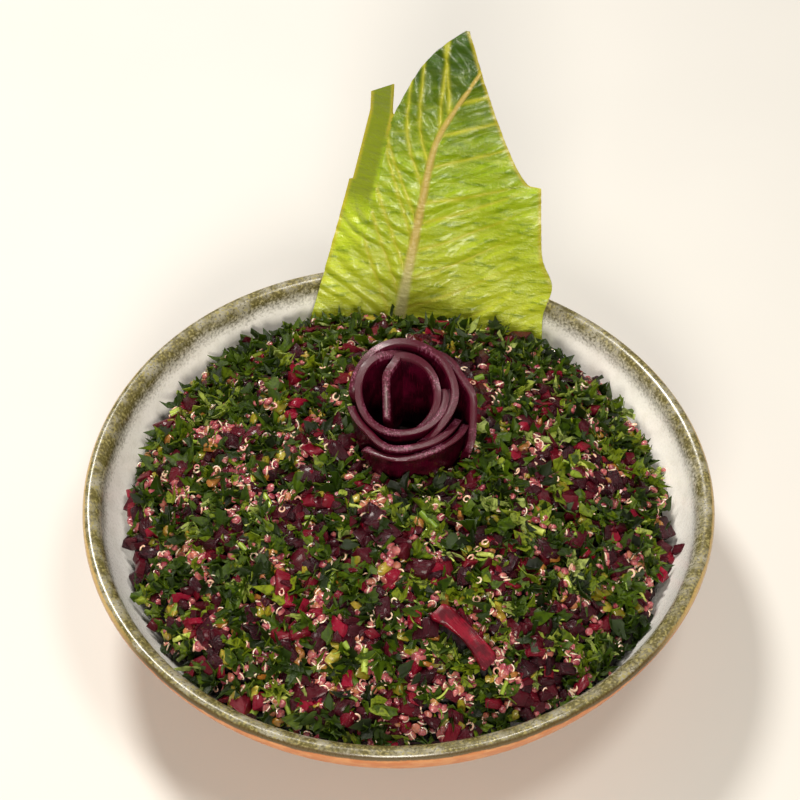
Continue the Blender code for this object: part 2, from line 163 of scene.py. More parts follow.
class Graph:
    """The node tree of one material, with a Principled shader at its end."""

    def __init__(self, name: str) -> None:
        """Start a material of that name."""
        self.material = bpy.data.materials.new(name)
        self.material.use_nodes = True
        self.tree = self.material.node_tree
        self.shader = self.tree.nodes["Principled BSDF"]

    def node(self, kind: str, settings: dict | None = None, inputs: dict | None = None,
             output: int | str = 0) -> Wire:
        """Add a node.

        Args:
            kind: The node's type.
            settings: Its settings, set before its inputs; "stops" fills a colour ramp.
            inputs: Values or wires of its input sockets, by name or number.
            output: The output that the returned wire starts from.

        Returns:
            The wire from that output.
        """
        made = self.tree.nodes.new(kind)
        for key, value in (settings or {}).items():
            if key == "stops":
                self._fill_ramp(made.color_ramp, value)
            else:
                setattr(made, key, value)
        for key, value in (inputs or {}).items():
            self._feed(made.inputs[key], value)
        return Wire(self, made.outputs[output])

    def _feed(self, socket: bpy.types.NodeSocket, value: Wire | float | tuple) -> None:
        """Link a wire to a socket, or set the socket's own value."""
        if isinstance(value, Wire):
            self.tree.links.new(value.socket, socket)
        elif isinstance(value, tuple) and len(value) == 3 and socket.type == "RGBA":
            socket.default_value = (*value, 1.0)
        else:
            socket.default_value = value

    @staticmethod
    def _fill_ramp(colour_ramp: bpy.types.ColorRamp, stops: Stops) -> None:
        """Give a colour ramp its stops."""
        while len(colour_ramp.elements) < len(stops):
            colour_ramp.elements.new(0.5)
        for element, (place, colour) in zip(colour_ramp.elements, stops):
            element.position = place
            element.color = (*colour, 1.0)

    def place(self) -> Wire:
        """The point on the object, in metres."""
        return self.node("ShaderNodeTexCoord", output="Object")

    def value(self, name: str) -> Wire:
        """A number that the mesh carries under that name."""
        return self.node("ShaderNodeAttribute", {"attribute_name": name}, output="Fac")

    def vector(self, name: str) -> Wire:
        """A vector that the mesh carries under that name."""
        return self.node("ShaderNodeAttribute", {"attribute_name": name}, output="Vector")

    def noise(self, size: float, detail: float = 3.0, at: Wire | None = None) -> Wire:
        """Soft noise between 0 and 1 whose features are about size across.

        Args:
            size: Size of a feature, in the units of at.
            detail: How many finer layers there are.
            at: Where the noise is read; the point on the object if left out.

        Returns:
            The wire that carries the noise.
        """
        inputs = {"Vector": at or self.place(), "Scale": 1.0 / size, "Detail": detail,
                  "Roughness": FINER_LAYERS}
        return self.node("ShaderNodeTexNoise", inputs=inputs)

    def mix(self, share: Wire | float, first: Wire | Colour, second: Wire | Colour) -> Wire:
        """A colour between two others: share is 0 for the first, 1 for the second."""
        return self.node("ShaderNodeMix", {"data_type": "RGBA"},
                         {0: share, 6: first, 7: second}, 2)

    def ramp(self, share: Wire, stops: Stops) -> Wire:
        """A colour read from a ramp of stops."""
        return self.node("ShaderNodeValToRGB", {"stops": stops}, {0: share})

    def bump(self, height: Wire, depth: float, under: Wire | None = None) -> Wire:
        """A normal roughened by a height between 0 and 1, depth metres deep."""
        inputs = {"Height": height, "Distance": depth, "Strength": 1.0}
        if under:
            inputs["Normal"] = under
        return self.node("ShaderNodeBump", inputs=inputs)

    def finish(self, colour: Wire, roughness: Wire | float, normal: Wire | None = None,
               **constants: float) -> bpy.types.Material:
        """Feed the shader and return the material.

        Args:
            colour: The base colour.
            roughness: The roughness.
            normal: The normal, if it is bumped.
            constants: Further shader inputs, with underscores for spaces.

        Returns:
            The finished material.
        """
        self._feed(self.shader.inputs["Base Color"], colour)
        self._feed(self.shader.inputs["Roughness"], roughness)
        if normal:
            self._feed(self.shader.inputs["Normal"], normal)
        for key, value in constants.items():
            self.shader.inputs[key.replace("_", " ")].default_value = value
        return self.material

    def glow(self, colour: Colour, share: float) -> None:
        """Let light through from behind: mix some translucent shader into the finished one."""
        through = self.node("ShaderNodeBsdfTranslucent", inputs={"Color": colour})
        mixed = self.node("ShaderNodeMixShader",
                          inputs={0: share, 1: Wire(self, self.shader.outputs[0]), 2: through})
        output = self.tree.nodes["Material Output"]
        self._feed(output.inputs["Surface"], mixed)


# ---- the bench: modelling as by hand --------------------------------------------------------


def deselect() -> None:
    """Leave nothing selected."""
    for obj in bpy.context.view_layer.objects:
        obj.select_set(False)


def pick(obj: bpy.types.Object) -> None:
    """Select one object alone and make it the active one."""
    deselect()
    obj.select_set(True)
    bpy.context.view_layer.objects.active = obj


@contextmanager
def editing(obj: bpy.types.Object) -> Iterator[None]:
    """Edit mode on one object, with all of it selected."""
    pick(obj)
    bpy.ops.object.mode_set(mode="EDIT")
    bpy.ops.mesh.select_all(action="SELECT")
    try:
        yield
    finally:
        bpy.ops.object.mode_set(mode="OBJECT")


def points_of(obj: bpy.types.Object) -> np.ndarray:
    """The mesh's points, one row each."""
    flat = np.empty(len(obj.data.vertices) * 3)
    obj.data.vertices.foreach_get("co", flat)
    return flat.reshape(-1, 3)


def move_points(obj: bpy.types.Object, points: np.ndarray) -> None:
    """Put the mesh's points somewhere else."""
    obj.data.vertices.foreach_set("co", points.astype(float).ravel())
    obj.data.update()


def carry(obj: bpy.types.Object, name: str, values: np.ndarray) -> None:
    """Let the mesh carry a number, or a vector, for each of its points."""
    kind, key = ("FLOAT", "value") if values.ndim == 1 else ("FLOAT_VECTOR", "vector")
    layer = obj.data.attributes.new(name, kind, "POINT")
    layer.data.foreach_set(key, values.astype(np.float32).ravel())


def apply_all(obj: bpy.types.Object) -> None:
    """Apply the object's modifiers, in order."""
    pick(obj)
    for modifier in list(obj.modifiers):
        bpy.ops.object.modifier_apply(modifier=modifier.name)


def settle_at_origin(obj: bpy.types.Object) -> None:
    """Put the object's place, turn and scale into its mesh."""
    pick(obj)
    bpy.ops.object.transform_apply(location=True, rotation=True, scale=True)


def grid(name: str, columns: int, rows: int,
         shape: Callable[[np.ndarray, np.ndarray], np.ndarray]) -> bpy.types.Object:
    """A grid laid over a curved surface.

    Args:
        name: The object's name.
        columns: Faces along u.
        rows: Faces along v.
        shape: Gives the points for arrays of u and v, both 0 to 1.

    Returns:
        The object.
    """
    deselect()
    bpy.ops.mesh.primitive_grid_add(x_subdivisions=columns, y_subdivisions=rows, size=1.0)
    obj = bpy.context.active_object
    obj.name = name
    flat = points_of(obj) + 0.5
    move_points(obj, shape(flat[:, 0], flat[:, 1]))
    return obj


def close(obj: bpy.types.Object, gap: float = 1e-6) -> None:
    """Merge doubled points, fill open ends and turn the faces outwards."""
    with editing(obj):
        bpy.ops.mesh.remove_doubles(threshold=gap)
        bpy.ops.mesh.select_all(action="DESELECT")
        bpy.ops.mesh.select_mode(type="EDGE")
        bpy.ops.mesh.select_non_manifold()
        bpy.ops.mesh.fill_holes(sides=0)
        bpy.ops.mesh.select_all(action="SELECT")
        bpy.ops.mesh.normals_make_consistent(inside=False)
        bpy.ops.mesh.select_mode(type="VERT")


def smooth(obj: bpy.types.Object, degrees: float = 60.0) -> None:
    """Shade smooth but for edges sharper than that."""
    pick(obj)
    bpy.ops.object.shade_smooth_by_angle(angle=math.radians(degrees))


def present(obj: bpy.types.Object, material: bpy.types.Material, slot: str,
            *stands_for: str) -> bpy.types.Object:
    """Dress a finished piece and hand it to the frame.

    Args:
        obj: The piece, at the origin.
        material: Its material.
        slot: The record's material slot that it belongs to; not used.
        stands_for: CAD nodes that it replaces.

    Returns:
        The piece.
    """
    obj.data.materials.clear()
    obj.data.materials.append(material)
    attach(obj, BODY)
    if stands_for:
        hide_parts(*stands_for)
    obj.data.calc_loop_triangles()
    log.info("%s: %d triangles", obj.name, len(obj.data.loop_triangles))
    return obj


# ---- bowl -----------------------------------------------------------------------------------


@dataclass(frozen=True)
class Glaze:
    """Reactive stoneware glaze: off-white inside, olive grey and speckled towards the rim,
    tan or brown where it breaks over the lip, and bare rust-coloured clay below.

    Where white, the breaking edge and clay set in is given in millimetres from the lip.
    """

    white: Colour = tone(246, 243, 238)
    grey: Colour = tone(216, 212, 202)
    olive: Colour = tone(96, 88, 48)
    speck: Colour = tone(146, 136, 86)
    dark_speck: Colour = tone(82, 76, 48)
    tan: Colour = tone(190, 158, 96)
    brown: Colour = tone(84, 68, 36)
    rust: Colour = tone(190, 112, 54)
    rust_pale: Colour = tone(206, 140, 84)
    half_width: float = 85.0 * MM
    brown_from: float = -38.0 * MM
    brown_full: float = -58.0 * MM
    drift_size: float = 16.0 * MM
    cloud_size: float = 0.0045
    speckle_size: float = 0.00075
    fine_size: float = 0.00034
    edge_size: float = 0.006
    white_from: tuple[float, float] = (2.5, 9.0)
    break_from: tuple[float, float] = (-0.9, -1.5)
    clay_from: tuple[float, float] = (-2.3, -2.9)

    def material(self) -> bpy.types.Material:
        """The material, read by how far a point lies inside (+) or outside (-) the lip."""
        g = Graph("glazed_stoneware")
        reach = g.value("reach") / MM
        axes = g.node("ShaderNodeSeparateXYZ", inputs={0: g.place()})
        rightwards = axes / self.half_width
        backwards = g.node("ShaderNodeSeparateXYZ", inputs={0: g.place()}, output=1)
        drift = g.noise(self.drift_size, 2.0) - 0.5
        speckle = g.noise(self.speckle_size, 2.0)
        fine = g.noise(self.fine_size, 1.0)
        cloud = g.noise(self.cloud_size, 3.0)
        olive = g.mix(cloud.step(0.4, 0.7) * 0.35, self.olive, self.grey)
        olive = g.mix(speckle.step(0.54, 0.62), olive, self.speck)
        olive = g.mix(speckle.step(0.44, 0.36) * 0.75, olive, self.dark_speck)
        inside = g.mix(cloud.step(0.45, 0.7) * 0.3, self.white, self.grey)
        depth = reach + drift * 5.0 + rightwards * 0.8 + (speckle - 0.5) * 6.0
        colour = g.mix(depth.step(*self.white_from), olive, inside)
        edge = reach + (g.noise(self.edge_size, 3.0) - 0.5) * 1.2 + (fine - 0.5) * 0.5
        breaking = g.mix(backwards.step(self.brown_full, self.brown_from), self.brown, self.tan)
        colour = g.mix(edge.step(*self.break_from), colour, breaking)
        clay = g.mix(cloud.step(0.4, 0.7), self.rust, self.rust_pale)
        colour = g.mix(edge.step(*self.clay_from), colour, clay)
        roughness = 0.22 + speckle * 0.12 + reach.step(-2.0, -3.5) * 0.25
        normal = g.bump(cloud * 0.7 + speckle * 0.3, 0.00010)
        normal = g.bump(fine, 0.000015, normal)
        return g.finish(colour, roughness, normal, Coat_Weight=0.2, Coat_Roughness=0.15)


@dataclass
class Bowl:
    """A shallow hand-thrown bowl: flat foot, curved wall and a soft lip."""

    rim_radius: float
    rim_height: float
    foot_radius: float = 43.0 * MM
    foot_height: float = 2.5 * MM
    foot_round: float = 1.0 * MM
    wall: float = 4.5 * MM
    wall_arc: float = 52.0 * MM
    wall_steep: float = math.radians(72)
    wall_shallow: float = math.radians(20)
    floor: float = 6.5 * MM
    floor_turn: float = math.radians(35)
    lip_out: float = 1.8 * MM
    lip_drop_out: float = 2.0 * MM
    lip_in: float = 3.4 * MM
    lip_drop_in: float = 4.4 * MM
    rim_warp: float = 1.2 * MM
    warp_from: float = 8.0 * MM
    sides: int = 160
    outer_steps: int = 16
    lip_out_steps: int = 6
    lip_in_steps: int = 8
    wall_steps: int = 12
    floor_steps: int = 8
    finish: Glaze = field(default_factory=Glaze)

    @classmethod
    def from_frame(cls) -> Bowl:
        """The bowl at the size of the frame's own."""
        low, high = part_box("bowl")
        return cls(rim_radius=(high.x - low.x) / 2, rim_height=high.z - cls.rim_warp)

    def _arc(self, start: tuple[float, float], bend: float, first: float, last: float,
             steps: int) -> list[tuple[float, float]]:
        """Points (radius, height) down a wall whose slope changes evenly from first to last."""
        points = []
        for i in range(1, steps + 1):
            slope = first + (last - first) * i / steps
            points.append((start[0] - bend * (math.sin(first) - math.sin(slope)),
                           start[1] - bend * (math.cos(slope) - math.cos(first))))
        return points

    @staticmethod
    def _quarter(steps: int) -> np.ndarray:
        """Angles that go round a quarter turn in even steps, without its start."""
        return np.radians(np.linspace(90 / steps, 90, steps))

    def profile(self) -> tuple[list[tuple[float, float]], int]:
        """The bowl's half section, from its foot over the lip to the floor's edge.

        Returns:
            The points (radius, height), and the number of the one on the lip's crest.
        """
        top = (self.rim_radius, self.rim_height - self.lip_drop_out)
        outer = [top] + self._arc(top, self.wall_arc, self.wall_steep, self.wall_shallow,
                                  self.outer_steps)
        foot = [(self.foot_radius - self.foot_round, 0.0), (self.foot_radius, self.foot_round),
                (self.foot_radius + self.foot_round / 2, self.foot_height)]
        points = foot + [p for p in reversed(outer) if p[1] > self.foot_height]
        crest = (self.rim_radius - self.lip_out, self.rim_height)
        for turn in self._quarter(self.lip_out_steps):
            points.append((crest[0] + self.lip_out * math.cos(turn),
                           crest[1] - self.lip_drop_out * (1.0 - math.sin(turn))))
        top_number = len(points) - 1
        for turn in self._quarter(self.lip_in_steps):
            points.append((crest[0] - self.lip_in * math.sin(turn),
                           crest[1] - self.lip_drop_in * (1.0 - math.cos(turn))))
        bend = self.wall_arc - self.wall
        points += self._arc(points[-1], bend, self.wall_steep, self.floor_turn, self.wall_steps)
        fall = points[-1][1] - self.floor
        bend = fall / (1.0 - math.cos(self.floor_turn))
        points += self._arc(points[-1], bend, self.floor_turn, 0.0, self.floor_steps)
        return points, top_number

    def build(self) -> bpy.types.Object:
        """Raise the bowl from a disc, ring by ring, as on a wheel."""
        points, crest = self.profile()
        deselect()
        bpy.ops.mesh.primitive_circle_add(vertices=self.sides, radius=points[0][0],
                                          fill_type="NGON")
        bowl = bpy.context.active_object
        bowl.name = "stoneware_bowl"
        with editing(bowl):
            for (r0, z0), (r1, z1) in zip(points, points[1:]):
                bpy.ops.mesh.extrude_region_move(TRANSFORM_OT_translate={"value": (0, 0, z1 - z0)})
                bpy.ops.transform.resize(value=(r1 / r0, r1 / r0, 1.0),
                                         center_override=(0.0, 0.0, z1))
            bpy.ops.mesh.poke()
            bpy.ops.mesh.select_all(action="SELECT")
            bpy.ops.mesh.normals_make_consistent(inside=False)
        self._carry_reach(bowl, points, crest)
        self._warp(bowl)
        smooth(bowl, 50.0)
        return present(bowl, self.finish.material(), "glazed_stoneware", "bowl")

    def _carry_reach(self, bowl: bpy.types.Object, points: list[tuple[float, float]],
                     crest: int) -> None:
        """Let the mesh carry how far each point lies along the section from the crest."""
        section = np.array(points)
        run = np.concatenate([[0.0], np.cumsum(np.hypot(*np.diff(section, axis=0).T))])
        run -= run[crest]
        place = points_of(bowl)
        radius = np.hypot(place[:, 0], place[:, 1])
        apart = np.hypot(radius[:, None] - section[None, :, 0],
                         place[:, 2][:, None] - section[None, :, 1])
        carry(bowl, "reach", run[np.argmin(apart, axis=1)])

    def _warp(self, bowl: bpy.types.Object) -> None:
        """Lift two quarters of the rim and drop the others, as the potter's hands left it."""
        place = points_of(bowl)
        angle = np.arctan2(place[:, 1], place[:, 0])
        lift = self.rim_warp * np.sin(2.0 * angle)
        place[:, 2] -= lift * ramp(self.warp_from, self.rim_height, place[:, 2])
        move_points(bowl, place)

    def inner_height(self, radius: float) -> float:
        """Height of the inner wall at a radius."""
        points, crest = self.profile()
        inside = np.array(points[crest:][::-1])
        return float(np.interp(radius, inside[:, 0], inside[:, 1]))

    def wall_height(self, radius: float, turn: float) -> float:
        """Height of the inner wall at a radius and an angle, with the rim's warp."""
        height = self.inner_height(radius)
        share = float(ramp(self.warp_from, self.rim_height, height))
        return height - self.rim_warp * math.sin(2.0 * turn) * share


# ---- shapes that repeat ------------------------------------------------------------------------


@dataclass(frozen=True)
class Shape:
    """A small modelled shape kept as arrays, ready to be copied."""

    points: np.ndarray
    corners: np.ndarray
    sides: np.ndarray
    part: np.ndarray

    @classmethod
    def take(cls, obj: bpy.types.Object) -> Shape:
        """Read a modelled object and clear it off the bench."""
        mesh = obj.data
        corners = np.empty(len(mesh.loops), np.int32)
        mesh.loops.foreach_get("vertex_index", corners)
        sides = np.empty(len(mesh.polygons), np.int32)
        mesh.polygons.foreach_get("loop_total", sides)
        shape = cls(points_of(obj), corners, sides, np.zeros(len(mesh.vertices)))
        bpy.data.objects.remove(obj, do_unlink=True)
        return shape

    def joined(self, other: Shape) -> Shape:
        """This shape together with another, which is marked as its other part."""
        return Shape(np.concatenate([self.points, other.points]),
                     np.concatenate([self.corners, other.corners + len(self.points)]),
                     np.concatenate([self.sides, other.sides]),
                     np.concatenate([self.part, np.ones(len(other.points))]))

    def moved(self, matrix: Matrix) -> Shape:
        """This shape moved, turned or scaled."""
        full = np.array(matrix)
        points = self.points @ full[:3, :3].T + full[:3, 3]
        return Shape(points, self.corners, self.sides, self.part)


class Copies:
    """Many copies of a few shapes, joined in one mesh.

    The local coordinates that it carries are set apart by tint, so that no two copies are
    mottled alike.
    """

    apart = 7.0

    def __init__(self, name: str) -> None:
        """Start an empty pile of that name."""
        self.name = name
        self.shapes: list[Shape] = []
        self.points: list[np.ndarray] = []
        self.tints: list[float] = []

    def add(self, shape: Shape, axes: np.ndarray, at: np.ndarray, tint: float) -> None:
        """Add one copy.

        Args:
            shape: The shape.
            axes: Its axes, sized, as the columns of a 3 by 3 matrix.
            at: Where its own origin goes.
            tint: 0 to 1, its place in its kind's range of colours.
        """
        self.shapes.append(shape)
        self.points.append(shape.points @ axes.T + at)
        self.tints.append(tint)

    def build(self) -> bpy.types.Object:
        """Join all copies in one object."""
        counts = [len(shape.points) for shape in self.shapes]
        firsts = np.concatenate([[0], np.cumsum(counts)[:-1]])
        corners = [shape.corners + first for shape, first in zip(self.shapes, firsts)]
        sides = np.concatenate([shape.sides for shape in self.shapes])
        starts = np.concatenate([[0], np.cumsum(sides)[:-1]])
        mesh = bpy.data.meshes.new(self.name)
        mesh.vertices.add(sum(counts))
        mesh.vertices.foreach_set("co", np.concatenate(self.points).ravel())
        mesh.loops.add(int(sides.sum()))
        mesh.loops.foreach_set("vertex_index", np.concatenate(corners).astype(np.int32))
        mesh.polygons.add(len(sides))
        mesh.polygons.foreach_set("loop_start", starts.astype(np.int32))
        mesh.update(calc_edges=True)
        obj = bpy.data.objects.new(self.name, mesh)
        bpy.context.scene.collection.objects.link(obj)
        tints = np.repeat(self.tints, counts)
        local = np.concatenate([shape.points for shape in self.shapes])
        carry(obj, "tint", tints)
        carry(obj, "local", local + self.apart * tints[:, None])
        carry(obj, "part", np.concatenate([shape.part for shape in self.shapes]))
        smooth(obj)
        return obj


# ---- finishes of what is in the heap ---------------------------------------------------------


@dataclass(frozen=True)
class FoodFinish:
    """Moist cut food: a range of colours from piece to piece, mottled, with a wet skin; the
    parsley's range and mottle also hold painted shade and a painted highlight, and the beet dice's
    mottle is partly a painted highlight.
    """

    name: str
    stops: Stops
    mottle_and_painted_light: Colour
    mottle_and_light_size: float
    mottle_and_light_share: float
    roughness: float
    bump_size: float
    bump_depth: float
    coat: float = 0.0
    gloss: float = 0.4
    subsurface: float = 0.0
    grain: tuple[float, float, float] = (1.0, 1.0, 1.0)
    other_part: Colour = tone(246, 214, 190)
    glow: Colour = (0.0, 0.0, 0.0)
    glow_share: float = 0.0
    mottle_and_light_edges: tuple[float, float] = (0.45, 0.65)
    roughness_range: float = 0.25
    coat_roughness: float = 0.12
    subsurface_scale: float = 0.8 * MM

    def material(self) -> bpy.types.Material:
        """The material, read by each copy's tint and its own local coordinates."""
        g = Graph(self.name)
        local = g.node("ShaderNodeMapping",
                       inputs={"Vector": g.vector("local"), "Scale": self.grain})
        patch = g.noise(self.mottle_and_light_size, 3.0, local)
        colour = g.ramp(g.value("tint"), self.stops)
        # The mottle: the food's own in grains, germs, stems and bits, painted shade in parsley,
        # partly painted highlight in beet dice.
        colour = g.mix(patch.step(*self.mottle_and_light_edges) * self.mottle_and_light_share, colour, self.mottle_and_painted_light)
        colour = g.mix(g.value("part"), colour, self.other_part)
        relief = g.noise(self.bump_size, 2.0, local)
        roughness = self.roughness + (patch - 0.5) * self.roughness_range
        normal = g.bump(relief, self.bump_depth)
        material = g.finish(colour, roughness, normal, Coat_Weight=self.coat,
                            Coat_Roughness=self.coat_roughness,
                            Specular_IOR_Level=self.gloss,
                            Subsurface_Weight=self.subsurface,
                            Subsurface_Scale=self.subsurface_scale)
        if self.glow_share:
            g.glow(self.glow, self.glow_share)
        return material


GRAIN_FINISH = FoodFinish(
    "quinoa_grain",
    ((0.0, tone(100, 22, 40)), (0.3, tone(144, 56, 72)), (0.6, tone(172, 90, 94)),
     (0.85, tone(166, 104, 66)), (1.0, tone(154, 114, 46))),
    mottle_and_painted_light=tone(204, 140, 126),
    mottle_and_light_size=0.8, mottle_and_light_share=0.5, roughness=0.30, bump_size=0.3,
    bump_depth=0.00006, coat=0.3, subsurface=0.3)

GERM_FINISH = FoodFinish(
    "quinoa_germ",
    ((0.0, tone(214, 132, 134)), (0.4, tone(232, 184, 156)), (1.0, tone(246, 224, 192))),
    mottle_and_painted_light=tone(236, 160, 158),
    mottle_and_light_size=0.8, mottle_and_light_share=0.3, roughness=0.35, bump_size=0.3,
    bump_depth=0.00003, coat=0.2, subsurface=0.1)

# Parsley: the darkest tints and the near-black mottle are painted shade of crumpled recesses; the
# palest tint is a painted highlight.
HERB_FINISH = FoodFinish(
    "parsley",
    ((0.0, tone(12, 20, 2)), (0.35, tone(36, 56, 4)), (0.65, tone(78, 102, 8)),
     (0.88, tone(138, 152, 28)), (1.0, tone(160, 174, 90))),
    mottle_and_painted_light=tone(20, 30, 4),
    mottle_and_light_size=0.3, mottle_and_light_share=0.7, roughness=0.42, bump_size=0.10,
    bump_depth=0.00022, gloss=0.35,
    glow=tone(170, 200, 24), glow_share=0.25)

STEM_FINISH = FoodFinish(
    "parsley_stem",
    ((0.0, tone(96, 122, 30)), (0.5, tone(146, 168, 56)), (1.0, tone(190, 198, 96))),
    mottle_and_painted_light=tone(88, 108, 34),
    mottle_and_light_size=0.7, mottle_and_light_share=0.4, roughness=0.35, bump_size=0.2,
    bump_depth=0.00004, coat=0.2, grain=(3.0, 3.0, 0.5))

# Beet dice: the pink mottle, stretched along the fibres, is partly fibre and partly painted
# highlight.
DICE_FINISH = FoodFinish(
    "beet_dice",
    ((0.0, tone(22, 1, 7)), (0.4, tone(48, 1, 12)), (0.7, tone(74, 2, 18)),
     (0.92, tone(112, 3, 26)), (1.0, tone(136, 8, 40))),
    mottle_and_painted_light=tone(130, 24, 56),
    mottle_and_light_size=0.5, mottle_and_light_share=0.14, roughness=0.30, bump_size=0.16,
    bump_depth=0.00018, coat=0.12, gloss=0.2,
    grain=(0.6, 3.0, 3.0))

BIT_FINISH = FoodFinish(
    "vegetable_bits",
    ((0.0, tone(90, 84, 14)), (0.35, tone(134, 126, 26)), (0.6, tone(170, 158, 56)),
     (0.8, tone(148, 92, 28)), (1.0, tone(162, 108, 56))),
    mottle_and_painted_light=tone(100, 78, 18),
    mottle_and_light_size=0.7, mottle_and_light_share=0.5, roughness=0.3, bump_size=0.25,
    bump_depth=0.00008, coat=0.25, subsurface=0.2)


@dataclass(frozen=True)
class CoreFinish:
    """What is seen in the gaps of the heap: herbs and beet darkened as painted shade, with patches
    of near-black painted shadow.
    """

    # Herbs and beet darkened far below their own colour: painted shade deep in the gaps.
    herb: Colour = tone(16, 24, 6)
    beet: Colour = tone(34, 4, 14)
    gap_shadow: Colour = tone(8, 6, 4)
    patch_size: float = 0.004
    gap_shadow_size: float = 0.0016
    bump_size: float = 0.0022
    bump_depth: float = 0.0008

    def material(self) -> bpy.types.Material:
        """The material."""
        g = Graph("salad_core")
        patch = g.noise(self.patch_size, 4.0)
        colour = g.mix(patch.step(0.42, 0.58), self.herb, self.beet)
        # Patches of near-black painted shadow.
        colour = g.mix(g.noise(self.gap_shadow_size, 3.0).step(0.4, 0.6) * 0.7, colour, self.gap_shadow)
        normal = g.bump(g.noise(self.bump_size, 4.0), self.bump_depth)
        return g.finish(colour, 0.5 + patch * 0.2, normal, Specular_IOR_Level=0.3)


# ---- the heap ---------------------------------------------------------------------------------


def clump(x: float, y: float, size: float, layer: float) -> float:
    """Smooth noise over the plan, -1 to 1, with clumps of that size; layers differ."""
    return noise.noise(Vector((x / size, y / size, 7.3 * layer)))


